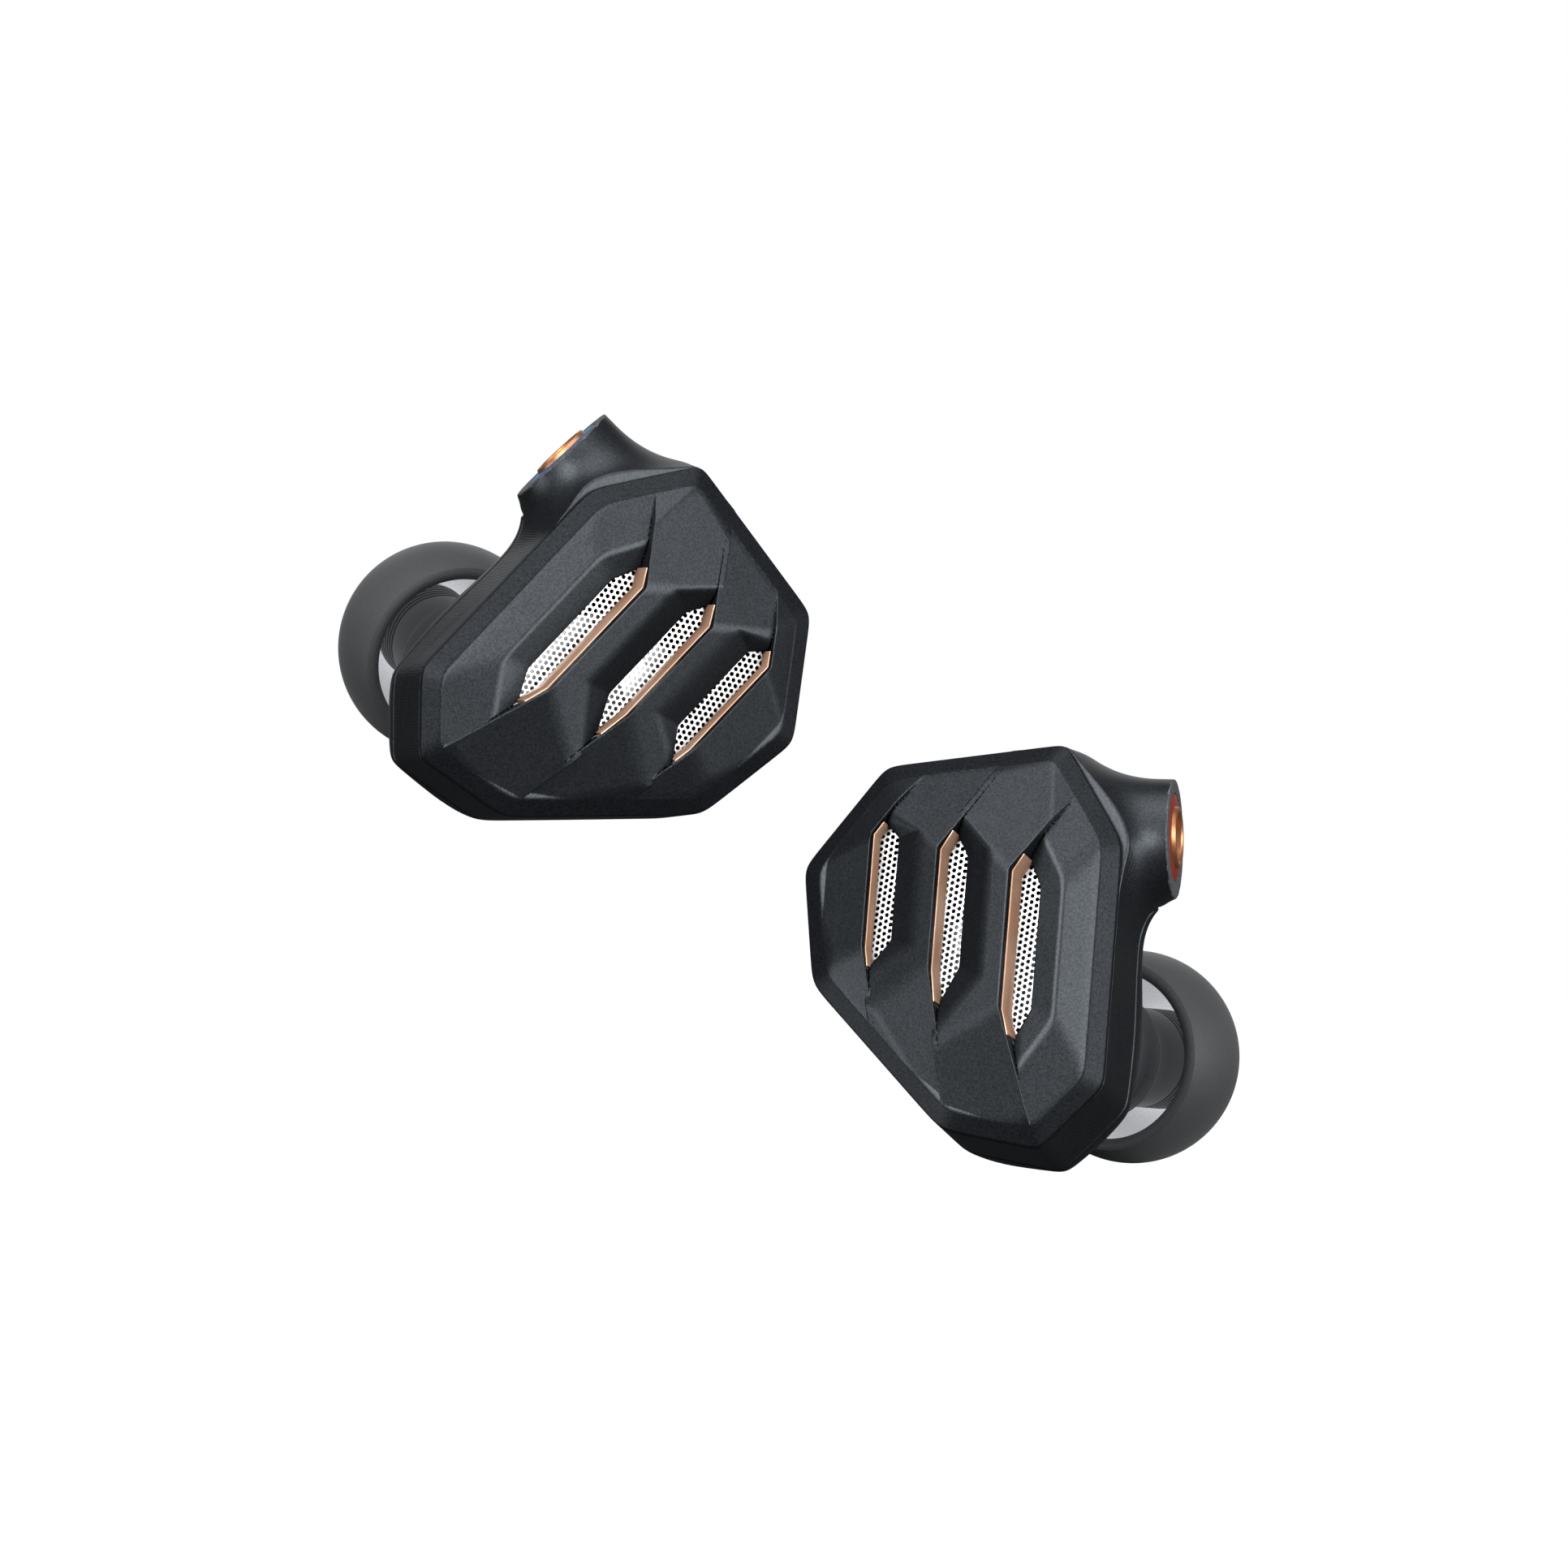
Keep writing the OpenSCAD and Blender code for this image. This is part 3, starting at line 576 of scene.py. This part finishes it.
def node(tree, kind, settings=None, **inputs):
    made = tree.nodes.new(kind)
    for key, value in (settings or {}).items():
        setattr(made, key, value)
    for key, value in inputs.items():
        socket = made.inputs[int(key[1:])] if key[0] == "i" and key[1:].isdigit() else made.inputs[key]
        if isinstance(value, bpy.types.NodeSocket):
            tree.links.new(value, socket)
        else:
            socket.default_value = value
    return made


def maths(tree, operation, *values):
    """The output of a maths node on two or three numbers or sockets."""
    inputs = {f"i{i}": value for i, value in enumerate(values)}
    return node(tree, "ShaderNodeMath", {"operation": operation}, **inputs).outputs[0]


def noise(tree, scale_mm, detail=2.0):
    """Noise whose features are about scale_mm across, in the object's own coordinates."""
    place_node = node(tree, "ShaderNodeTexCoord")
    made = node(tree, "ShaderNodeTexNoise", Vector=place_node.outputs["Object"])
    made.inputs["Scale"].default_value = 1 / (scale_mm * MM)
    made.inputs["Detail"].default_value = detail
    return made.outputs["Fac"]


def ramp(tree, fac, stops):
    made = node(tree, "ShaderNodeValToRGB", i0=fac)
    elements = made.color_ramp.elements
    while len(elements) < len(stops):
        elements.new(0.5)
    for element, (position, color) in zip(elements, stops):
        element.position = position
        element.color = (*color, 1) if len(color) == 3 else color
    return made.outputs["Color"]


# How much of a finish's variation is in broad patches rather than in its fine grain, and
# the noise values at which it is darkest and lightest
PATCH_SHARE = 0.12
NOISE_LOW, NOISE_HIGH = 0.36, 0.64


def grained(
    name, dark, light, metallic, roughness, grain_mm=0.12, grain=0.3, patch_mm=2.5, specular=0.5, glint=None
):
    """A finish with a fine bead-blasted or moulded grain and slight patches of tone.

    glint is the range over which the grain changes how strongly the surface shines.
    """
    material, tree, shader = new_material(name)
    fine, broad = noise(tree, grain_mm, 3), noise(tree, patch_mm, 4)
    little = maths(tree, "MULTIPLY", broad, PATCH_SHARE)
    tone = maths(tree, "MULTIPLY_ADD", fine, 1 - PATCH_SHARE, little)
    color = ramp(tree, tone, [(NOISE_LOW, dark), (NOISE_HIGH, light)])
    tree.links.new(color, shader.inputs["Base Color"])
    rough = node(tree, "ShaderNodeMapRange", i0=tone, i3=roughness - 0.05, i4=roughness + 0.05)
    tree.links.new(rough.outputs[0], shader.inputs["Roughness"])
    bump = node(tree, "ShaderNodeBump", Strength=grain, Distance=0.01 * MM, Height=fine)
    tree.links.new(bump.outputs["Normal"], shader.inputs["Normal"])
    shader.inputs["Metallic"].default_value = metallic
    if glint:
        shine = node(
            tree, "ShaderNodeMapRange", i0=tone, i1=NOISE_LOW, i2=NOISE_HIGH, i3=glint[0], i4=glint[1]
        )
        tree.links.new(shine.outputs[0], shader.inputs["Specular IOR Level"])
    else:
        shader.inputs["Specular IOR Level"].default_value = specular
    return material, tree, shader, bump


def brushed(name, dark, light, metallic, roughness, scale_mm=0.5, scratch=0.15, specular=0.5):
    """Plated or machined metal with faint smears of tone."""
    material, tree, shader = new_material(name)
    tone = noise(tree, scale_mm, 4)
    tree.links.new(ramp(tree, tone, [(0.35, dark), (0.65, light)]), shader.inputs["Base Color"])
    rough = node(tree, "ShaderNodeMapRange", i0=tone, i3=roughness - 0.04, i4=roughness + 0.06)
    tree.links.new(rough.outputs[0], shader.inputs["Roughness"])
    bump = node(tree, "ShaderNodeBump", Strength=scratch, Distance=0.004 * MM, Height=noise(tree, 0.05, 2))
    tree.links.new(bump.outputs["Normal"], shader.inputs["Normal"])
    shader.inputs["Metallic"].default_value = metallic
    shader.inputs["Specular IOR Level"].default_value = specular
    return material


# The shell's finish: its grain's two colours, its roughness and the tint of its shine, and
# how strongly the panels and the darker bevel shine
SHELL_DARK, SHELL_LIGHT = (0.005, 0.0056, 0.0066), (0.01, 0.0112, 0.0134)
SHELL_ROUGH = 0.42
SHELL_TINT = (0.84, 0.92, 1.0)
GLINT = (0.48, 0.76)
BEVEL_GLINT = (0.16, 0.28)
# The side wall's scales: their pitch round the wall and down it, in millimetres, and height
SCALE_PITCH = (0.34, 0.5)
SCALE_STRENGTH = 0.8
SCALE_HEIGHT = 0.02


def shell_finish(name, glint):
    made = grained(name, SHELL_DARK, SHELL_LIGHT, 0.0, SHELL_ROUGH, glint=glint)
    made[2].inputs["Specular Tint"].default_value = (*SHELL_TINT, 1)
    return made


def knurled_material():
    """The shell's finish with a faint scaled texture on the side wall."""
    material, tree, shader, grain = shell_finish("anodised_knurled", GLINT)
    wall = node(tree, "ShaderNodeAttribute", {"attribute_name": "wall"})
    split = node(tree, "ShaderNodeSeparateXYZ", Vector=wall.outputs["Vector"])
    along = maths(tree, "MULTIPLY", split.outputs["X"], 2 * math.pi / SCALE_PITCH[0])
    down = maths(tree, "MULTIPLY", split.outputs["Y"], 2 * math.pi / SCALE_PITCH[1])
    one = maths(tree, "SINE", maths(tree, "ADD", along, down))
    two = maths(tree, "SINE", maths(tree, "SUBTRACT", along, down))
    height = maths(tree, "MULTIPLY", maths(tree, "MULTIPLY", one, two), split.outputs["Z"])
    bump = node(
        tree, "ShaderNodeBump", Strength=SCALE_STRENGTH, Distance=SCALE_HEIGHT * MM,
        Height=height, Normal=grain.outputs["Normal"],
    )
    tree.links.new(bump.outputs["Normal"], shader.inputs["Normal"])
    return material


def glossy(name, color, roughness=0.25, specular=0.5):
    """A smooth plastic or enamel with slight variation of tone."""
    material, tree, shader = new_material(name)
    tone = noise(tree, 0.8, 3)
    darker = tuple(c * 0.8 for c in color)
    tree.links.new(ramp(tree, tone, [(0.3, darker), (0.7, color)]), shader.inputs["Base Color"])
    bump = node(tree, "ShaderNodeBump", Strength=0.1, Distance=0.004 * MM, Height=noise(tree, 0.12, 2))
    tree.links.new(bump.outputs["Normal"], shader.inputs["Normal"])
    shader.inputs["Roughness"].default_value = roughness
    shader.inputs["Specular IOR Level"].default_value = specular
    return material


# Painted glow on the ear tip's inside: emission that stands in for the light coming through its thin skin
TIP_PAINTED_GLOW = 0.36


def silicone(name, dark, light, roughness, sheen=0.0, painted_glow=0.0):
    """Moulded rubber; its emission is a painted glow that stands in for light passing through it."""
    material, tree, shader, _ = grained(name, dark, light, 0.0, roughness, 0.12, 0.12, 3.0, 0.4)
    shader.inputs["Sheen Weight"].default_value = sheen
    shader.inputs["Emission Color"].default_value = (*light, 1)
    shader.inputs["Emission Strength"].default_value = painted_glow
    return material


MATERIALS = {
    "shell": shell_finish("anodised_shell", GLINT)[0],
    "bevel": shell_finish("anodised_bevel", BEVEL_GLINT)[0],
    "knurled": knurled_material(),
    "machined": brushed(
        "machined_edge", (0.07, 0.073, 0.078), (0.12, 0.124, 0.13), 0.0, 0.6, 0.2, specular=0.08
    ),
    "steel_mesh": brushed("steel_mesh", (0.85, 0.85, 0.85), (0.95, 0.95, 0.94), 0.35, 0.35, 0.3),
    "rose_gold": brushed("rose_gold", (0.6, 0.34, 0.22), (0.76, 0.48, 0.34), 0.45, 0.22, 3.0, 0.02),
    "copper": brushed("copper_barrel", (0.55, 0.24, 0.11), (0.68, 0.33, 0.17), 0.85, 0.4, 2.0, 0.03),
    "tip_out": silicone("tip_outside", (0.052, 0.055, 0.058), (0.066, 0.07, 0.073), 0.55, 0.15),
    # The ear tip's inside is the same dark silicone as its outside, painted light grey and given a painted
    # glow, to stand in for the light that falls into it and shines through its skin
    "tip_in_painted_light": silicone("tip_inside_painted_light", (0.6, 0.61, 0.63), (0.72, 0.73, 0.75), 0.3, painted_glow=TIP_PAINTED_GLOW),
    "core": silicone("tip_core", (0.03, 0.031, 0.032), (0.04, 0.042, 0.044), 0.3),
    "ring": {
        "left": glossy("ring_blue", (0.015, 0.15, 0.38), 0.4, 0.06),
        "right": glossy("ring_red", (0.3, 0.04, 0.026), 0.4, 0.06),
    },
    "steel": brushed("driver_steel", (0.45, 0.45, 0.46), (0.6, 0.6, 0.61), 1.0, 0.3),
    "nozzle": brushed("nozzle_metal", (0.45, 0.45, 0.47), (0.6, 0.6, 0.62), 1.0, 0.32),
    "magnet": brushed("magnet_plating", (0.6, 0.6, 0.6), (0.75, 0.75, 0.75), 1.0, 0.15),
    "gold": brushed("gold_contact", (0.75, 0.52, 0.22), (0.88, 0.66, 0.32), 1.0, 0.2),
    "coil": brushed("copper_winding", (0.5, 0.22, 0.09), (0.75, 0.38, 0.17), 1.0, 0.35, 0.08),
    "felt": grained("acoustic_felt", (0.55, 0.55, 0.5), (0.75, 0.75, 0.7), 0.0, 0.9, 0.05, 1.0)[0],
    "seal": grained("seal_rubber", (0.015, 0.015, 0.015), (0.03, 0.03, 0.03), 0.0, 0.6)[0],
    "insulator": glossy("insulator_plastic", (0.75, 0.75, 0.72), 0.4),
    "film": glossy("polymer_film", (0.6, 0.52, 0.3), 0.2),
    "tube": glossy("tube_silicone", (0.6, 0.66, 0.7), 0.3),
    "board": grained("board_epoxy", (0.015, 0.1, 0.05), (0.03, 0.16, 0.08), 0.0, 0.35)[0],
    "chips": glossy("chip_ceramic", (0.4, 0.32, 0.22), 0.4),
}

# ---- Level of detail ----

ADAPTIVITY = 0.0
PLATE_STEP = 0.07
SHELL_STEP = 0.13

# ---- Pieces ----


def build_faceplate():
    points, faces, normals = level_surface(
        faceplate_field, (-8.6, -12.5, -PLATE_EDGE - 0.3), (11.0, 12.2, max(LIP_Z) + 0.3), PLATE_STEP
    )
    centres = np.array([points[list(f)].mean(0) for f in faces])
    on_bevel = outline_distance(RIM, centres[:, 0], centres[:, 1], CORNER_SOFT) > -BEVEL_WIDTH
    both(
        "faceplate", (points, faces, normals, on_bevel.astype(int)),
        [MATERIALS["shell"], MATERIALS["bevel"]],
    )


def wall_coordinates(points):
    """Place round the wall, height, and how far a point lies on the textured lower walls."""
    x, y, z = points.T
    outline = [np.array(p, float) for p in RIM]
    best = np.full(len(points), 1e9)
    along = np.zeros(len(points))
    lower = np.zeros(len(points))
    walked = 0.0
    for i, p in enumerate(outline):
        q = outline[(i + 1) % len(outline)]
        d = unit(q - p)
        length = np.linalg.norm(q - p)
        t = np.clip((x - p[0]) * d[0] + (y - p[1]) * d[1], 0, length)
        off = np.hypot(x - p[0] - t * d[0], y - p[1] - t * d[1])
        near = off < best
        best = np.where(near, off, best)
        along = np.where(near, walked + t, along)
        lower = np.where(near, 1.0 if i in (LEFT_LOW, LOW_LEFT, LEFT_HIGH) else 0.25, lower)
        walked += length
    on_wall = np.clip((z + WALL_DEPTH + 0.6) / 0.8, 0, 1) * np.clip((-PLATE_EDGE - z) / 0.4, 0, 1)
    on_wall = on_wall * np.clip(1 - (best - 0.1) / 0.5, 0, 1)
    return np.stack([along, z, lower * on_wall], axis=1)


def build_shells():
    low, high = (-11.0, -12.6, -17.2), (11.0, 12.4, -PLATE_EDGE + 0.3)
    points, faces, normals = level_surface(side_frame_field, low, high, SHELL_STEP)
    centres = np.array([points[list(f)].mean(0) for f in faces])
    t, off = along_and_off(NECK_END, NECK_AXIS, *centres.T)
    on_end = (t > -0.1) & (off > RING_R - 0.1)
    wall = wall_coordinates(points)
    both(
        "side_frame", (points, faces, normals, on_end.astype(int)),
        [MATERIALS["knurled"], MATERIALS["machined"]],
        replaces=["side_frame", "socket_housing"], wall=wall,
    )
    points, faces, normals = level_surface(rear_shell_field, low, high, SHELL_STEP)
    both("rear_shell", (points, faces, normals, None), [MATERIALS["shell"]])


# Perforation of the vent mesh: pitch, hole radius and how far the rows are turned
HOLE_PITCH = 0.365
HOLE_R = 0.132
HOLE_SIDES = 12
ROW_TURN = math.radians(4)
STRIP_THICK = 0.12


def inside_outline(outline, p, margin):
    for i, a in enumerate(outline):
        d = unit(np.asarray(outline[(i + 1) % len(outline)]) - a)
        if (p[0] - a[0]) * -d[1] + (p[1] - a[1]) * d[0] < margin:
            return False
    return True


def hole_centres(outline):
    corners = np.array(outline)
    low, high = corners.min(0), corners.max(0)
    middle = (low + high) / 2
    rows = int((high[1] - low[1]) / HOLE_PITCH) + 4
    for row in range(-rows, rows + 1):
        for column in range(-rows, rows + 1):
            p = np.array([row * math.sqrt(3) / 2, column + 0.5 * (row % 2)]) * HOLE_PITCH
            p = middle + np.array(
                [
                    p[0] * math.cos(ROW_TURN) - p[1] * math.sin(ROW_TURN),
                    p[0] * math.sin(ROW_TURN) + p[1] * math.cos(ROW_TURN),
                ]
            )
            if inside_outline(outline, p, HOLE_R + 0.03):
                yield p


def mesh_strip(i):
    """A perforated strip: flat faces between the holes, top and bottom, and the walls."""
    outline = inset(slot_outline(i), -(MESH_OVERLAP - 0.04))
    flat = [Vector(p) for p in outline]
    loops = [list(range(len(flat)))]
    centres = list(hole_centres(outline))
    for c in centres:
        start = len(flat)
        for s in range(HOLE_SIDES):
            a = 2 * math.pi * s / HOLE_SIDES
            flat.append(Vector((c[0] + HOLE_R * math.cos(a), c[1] + HOLE_R * math.sin(a))))
        loops.append(list(range(start, start + HOLE_SIDES)))
    verts, _, faces, *_ = delaunay_2d_cdt(flat, [], loops, 1, 1e-7)
    assert len(verts) == len(flat)
    holes = np.array(centres)
    kept = []
    for f in faces:
        middle = np.mean([verts[v] for v in f], axis=0)
        if np.hypot(*(holes - middle).T).min() > HOLE_R * 0.96:
            kept.append(tuple(f))
    n = len(verts)
    tilt = math.tan(math.radians(MESH_TILT[i]))
    points = [
        (v[0], v[1], MESH_Z[i] - tilt * (v[0] - SLOT_X[i]) - drop)
        for drop in (0.0, STRIP_THICK)
        for v in verts
    ]
    all_faces = kept + [tuple(v + n for v in reversed(f)) for f in kept]
    for loop in loops:
        for a, b in zip(loop, loop[1:] + loop[:1]):
            quad = (a, a + n, b + n, b)
            all_faces.append(quad if loop is loops[0] else quad[::-1])
    return points, all_faces


def joined(parts):
    points, faces = [], []
    for part_points, part_faces in parts:
        start = len(points)
        points.extend(tuple(p) for p in part_points)
        faces.extend(tuple(v + start for v in f) for f in part_faces)
    return np.array(points), faces


def build_mesh():
    points, faces = joined(mesh_strip(i) for i in range(3))
    both("vent_mesh", (points, faces, None, None), [MATERIALS["steel_mesh"]])


# A liner's section leans: its foot reaches this far past its top
LINER_LEAN = 0.15
LINER_THICK = 0.14


def liner(i):
    """A leaning strip swept along the three straight runs of a lip."""
    line = [slot_top(i), LIPS[i][1], LIPS[i][2], slot_low(i)]
    top = LIP_Z[i] - LINER_DROP
    low = MESH_Z[i] - 0.1
    section = softened(
        [
            (-0.02, top), (-0.1, top), (-0.14, top - 0.12), (-LINER_LEAN - 0.1, low),
            (-LINER_LEAN + LINER_THICK, low), (-0.02, top - 0.3),
        ],
        0.025, 2,
    )
    rings = []
    for j, p in enumerate(line):
        a = unit(line[max(j, 1)] - line[max(j, 1) - 1])
        b = unit(line[min(j + 1, 3)] - line[min(j + 1, 3) - 1])
        n, m = np.array([-a[1], a[0]]), np.array([-b[1], b[0]])
        across = (n + m) / (1 + n @ m)
        shorten = 0.05 if j in (0, 3) else 0
        start = p + (b if j == 0 else -a) * shorten
        rings.append([(*(start + across * s), z) for s, z in section])
    n = len(section)
    points = [p for ring in rings for p in ring]
    faces = [
        (r * n + s, (r + 1) * n + s, (r + 1) * n + (s + 1) % n, r * n + (s + 1) % n)
        for r in range(len(rings) - 1)
        for s in range(n)
    ]
    faces += [tuple(range(n)), tuple(range((len(rings) - 1) * n, len(rings) * n))[::-1]]
    return outward(points, faces)


def outward(points, faces):
    """A closed solid's faces, turned so that its volume comes out positive."""
    p = np.array(points)
    volume = sum(
        np.dot(p[f[0]], np.cross(p[f[k]], p[f[k + 1]])) for f in faces for k in range(1, len(f) - 1)
    )
    return points, faces if volume > 0 else [f[::-1] for f in faces]


def build_liners():
    points, faces = joined(liner(i) for i in range(3))
    both("vent_liner", (points, faces, None, None), [MATERIALS["rose_gold"]])


# How far the dome's edge bulges, how many steps of its inside belong to the dark lip, and the
# stem's ribs
LIP_ROUND = 0.12
DARK_STEPS = 2
RIB_DEPTH = 0.07
RIBS = 6


def build_ear_tip():
    """The dome with a rolled edge and a closed front, and the ribbed core inside it."""
    inner_r = DOME_R - DOME_SKIN
    back = math.degrees(math.asin(-DOME_BACK / DOME_R))
    front = math.degrees(math.acos((STEM_R + 0.25) / DOME_R))
    inner_front = math.degrees(math.acos((STEM_R + 0.9) / inner_r))
    inner_back = math.degrees(math.asin(-DOME_BACK / inner_r))
    outer = arc((0, 0), DOME_R, back, front, 48)
    roll = arc((STEM_R + 0.22, DOME_R * math.sin(math.radians(front)) - 0.22), 0.22, 75, 170, 5)
    inner = arc((0, 0), inner_r, inner_front, inner_back, 40)
    flare = arc((STEM_R + 0.75, inner_r * math.sin(math.radians(inner_front)) - 0.35), 0.75, 180, 120, 5)
    edge_out, edge_in = outer[0], inner[-1]
    lip = [
        mix(edge_in, edge_out, s) + np.array([0, -LIP_ROUND * math.sin(math.pi * s)]) for s in (0.25, 0.5, 0.75)
    ]
    profile = outer + roll + [(STEM_R, 4.6)] + flare + inner + [tuple(p) for p in lip]
    points, faces = revolved(profile, 160)
    n = len(profile)
    # The dome's inside, short of its lip, takes the inside material with painted light; the lip and the outside
    # keep the dark silicone
    inside = range(len(outer) + len(roll), n - len(lip) - DARK_STEPS)
    face_materials = [1 if i in inside else 0 for _ in range(160) for i in range(n)]
    both(
        "ear_tip_dome", (on_axis(points, TIP_CENTRE, TIP_AXIS), faces, None, face_materials),
        [MATERIALS["tip_out"], MATERIALS["tip_in_painted_light"]], body="ear_tip",
    )
    low, high = BOSS_END + STEM_GAP, DOME_R - 0.9
    ribs = []
    for k in range(RIBS):
        start = 0.9 + 0.42 * k
        ribs += [(STEM_R, start), (STEM_R - RIB_DEPTH, start + 0.08), (STEM_R - RIB_DEPTH, start + 0.2),
                 (STEM_R, start + 0.28)]
    core = (
        arc((STEM_R - 0.15, low + 0.15), 0.15, -90, 0, 4) + ribs
        + arc((STEM_R - 0.12, high - 0.12), 0.12, 0, 90, 4)
        + arc((OUTLET_R + 0.12, high - 0.12), 0.12, 90, 180, 4)
        + [(OUTLET_R, BOSS_END + NOZZLE_OUT + 0.2), (STEM_BORE, BOSS_END + NOZZLE_OUT + 0.2)]
        + arc((STEM_BORE + 0.12, low + 0.12), 0.12, 180, 270, 4)
    )
    points, faces = revolved(core, 128)
    both(
        "ear_tip_core", (on_axis(points, TIP_CENTRE, TIP_AXIS), faces, None, None),
        [MATERIALS["core"]], body="ear_tip",
    )


def build_socket():
    """The barrel with its rolled mouth, and the coloured ring that lies round it."""
    barrel = softened(
        [
            (BARREL_R, -SOCKET_DEPTH), (BARREL_R, 0.02), (BARREL_R - 0.1, BARREL_PROUD),
            (SOCKET_R + 0.08, BARREL_PROUD), (SOCKET_R, BARREL_PROUD - 0.12),
            (SOCKET_R, BARREL_PROUD - SOCKET_FREE), (INNER_R, BARREL_PROUD - SOCKET_FREE),
            (INNER_R, -SOCKET_DEPTH),
        ],
        0.05,
    )
    points, faces = revolved(barrel, 128)
    both(
        "socket_barrel", (on_axis(points, NECK_END, NECK_AXIS), faces, None, None),
        [MATERIALS["copper"]],
    )
    ring = softened(
        [
            (RING_R - 0.005, -RING_DEPTH), (RING_R - 0.005, -0.04),
            (BARREL_R + 0.02, 0.05), (BARREL_R + 0.02, -RING_DEPTH),
        ],
        0.08,
    )
    points, faces = revolved(ring, 128)
    both(
        "socket_ring", (on_axis(points, NECK_END, NECK_AXIS), faces, None, None),
        [MATERIALS["ring"]],
    )


# Materials of the CAD nodes that keep their own shape
INNER = {
    "faceplate_seal": "seal", "nozzle": "nozzle", "nozzle_screen": "steel_mesh", "nozzle_damper": "felt",
    "socket_insulator": "insulator", "socket_contact": "gold", "driver_frame": "steel",
    "driver_cover": "steel", "driver_yoke": "steel", "driver_magnet": "magnet",
    "driver_top_plate": "steel", "driver_felt": "felt", "voice_coil": "coil", "diaphragm": "film",
    "treble_driver": "steel", "sound_tube": "tube", "crossover_board": "board",
    "board_components": "chips", "signal_wires": "coil",
}


def finish_inner_pieces():
    for side in SIDES:
        for name, material in INNER.items():
            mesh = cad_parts[f"{side}_{name}"].data
            mesh.materials.clear()
            mesh.materials.append(MATERIALS[material])


# ---- Floor, light and camera ----

LENS_MM = 800.0
SENSOR_MM = 36.0
VIEW_WIDTH = 0.089
VIEW_CENTRE = (0.01943, -0.017, -0.00779)


def area_light(name, place_at, aim, size, power, color=(1, 1, 1)):
    light = bpy.data.lights.new(name, "AREA")
    light.shape = "RECTANGLE"
    light.size, light.size_y = size
    light.energy = power
    light.color = color
    obj = bpy.data.objects.new(name, light)
    obj.location = place_at
    obj.rotation_euler = (Vector(aim) - Vector(place_at)).to_track_quat("-Z", "Y").to_euler()
    bpy.context.scene.collection.objects.link(obj)
    return obj


# Soft boxes: name, direction from the pair, distance, size in metres and power in watts
LIGHTS = [
    ("front_right", (0.6, -0.78, 0.2), 0.5, 0.3, 2.1),
    ("front_left", (-0.49, -0.73, 0.47), 0.5, 0.3, 2.2),
    ("top", (0.1, -0.35, 0.9), 0.42, 0.32, 0.9),
    ("right", (0.95, -0.3, 0.0), 0.5, 0.2, 0.7),
    ("left", (-0.9, -0.35, -0.3), 0.5, 0.2, 0.7),
    ("back", (0.0, 0.9, 0.35), 0.45, 0.35, 0.3),
]
LIT_MIDDLE = (0.02, -0.01, -0.008)
ROOM_LIGHT = 0.05


def build_stage():
    scene = bpy.context.scene
    camera = bpy.data.objects.new("camera", bpy.data.cameras.new("camera"))
    camera.data.lens = LENS_MM
    camera.data.sensor_width = SENSOR_MM
    distance = VIEW_WIDTH * LENS_MM / SENSOR_MM
    camera.location = (VIEW_CENTRE[0], VIEW_CENTRE[1] - distance, VIEW_CENTRE[2])
    camera.rotation_euler = (math.pi / 2, 0, 0)
    camera.data.clip_start, camera.data.clip_end = 0.01, 20
    scene.collection.objects.link(camera)
    scene.camera = camera
    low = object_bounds()[0]
    bpy.ops.mesh.primitive_plane_add(size=4, location=(0.02, 0.5, low[2] - 0.012))
    floor = bpy.context.object
    floor.name = "floor"
    material, tree, shader = new_material("floor_paper")
    tone = noise(tree, 40, 2)
    pale = ramp(tree, tone, [(0.3, (0.8, 0.8, 0.8)), (0.7, (0.82, 0.82, 0.82))])
    tree.links.new(pale, shader.inputs["Base Color"])
    shader.inputs["Roughness"].default_value = 0.9
    shader.inputs["Emission Color"].default_value = (1, 1, 1, 1)
    shader.inputs["Emission Strength"].default_value = 1.0
    floor.data.materials.append(material)
    floor.visible_glossy = False
    floor.visible_diffuse = False
    for name, toward, distance, size, watts in LIGHTS:
        place = np.array(LIT_MIDDLE) + distance * unit(toward)
        area_light(name, tuple(place), LIT_MIDDLE, (size, size), watts)
    world = bpy.data.worlds.new("studio")
    world.use_nodes = True
    scene.world = world
    tree = world.node_tree
    seen = tree.nodes["Background"]
    seen.inputs["Color"].default_value = (1, 1, 1, 1)
    seen.inputs["Strength"].default_value = 1.0
    room = node(tree, "ShaderNodeBackground", Color=(0.9, 0.95, 1, 1), Strength=ROOM_LIGHT)
    rays = node(tree, "ShaderNodeLightPath")
    choice = node(
        tree, "ShaderNodeMixShader", i0=rays.outputs["Is Camera Ray"], i1=room.outputs[0], i2=seen.outputs[0]
    )
    tree.links.new(choice.outputs[0], tree.nodes["World Output"].inputs["Surface"])
    scene.view_settings.view_transform = "Standard"


build_faceplate()
build_shells()
build_mesh()
build_liners()
build_ear_tip()
build_socket()
finish_inner_pieces()
build_stage()
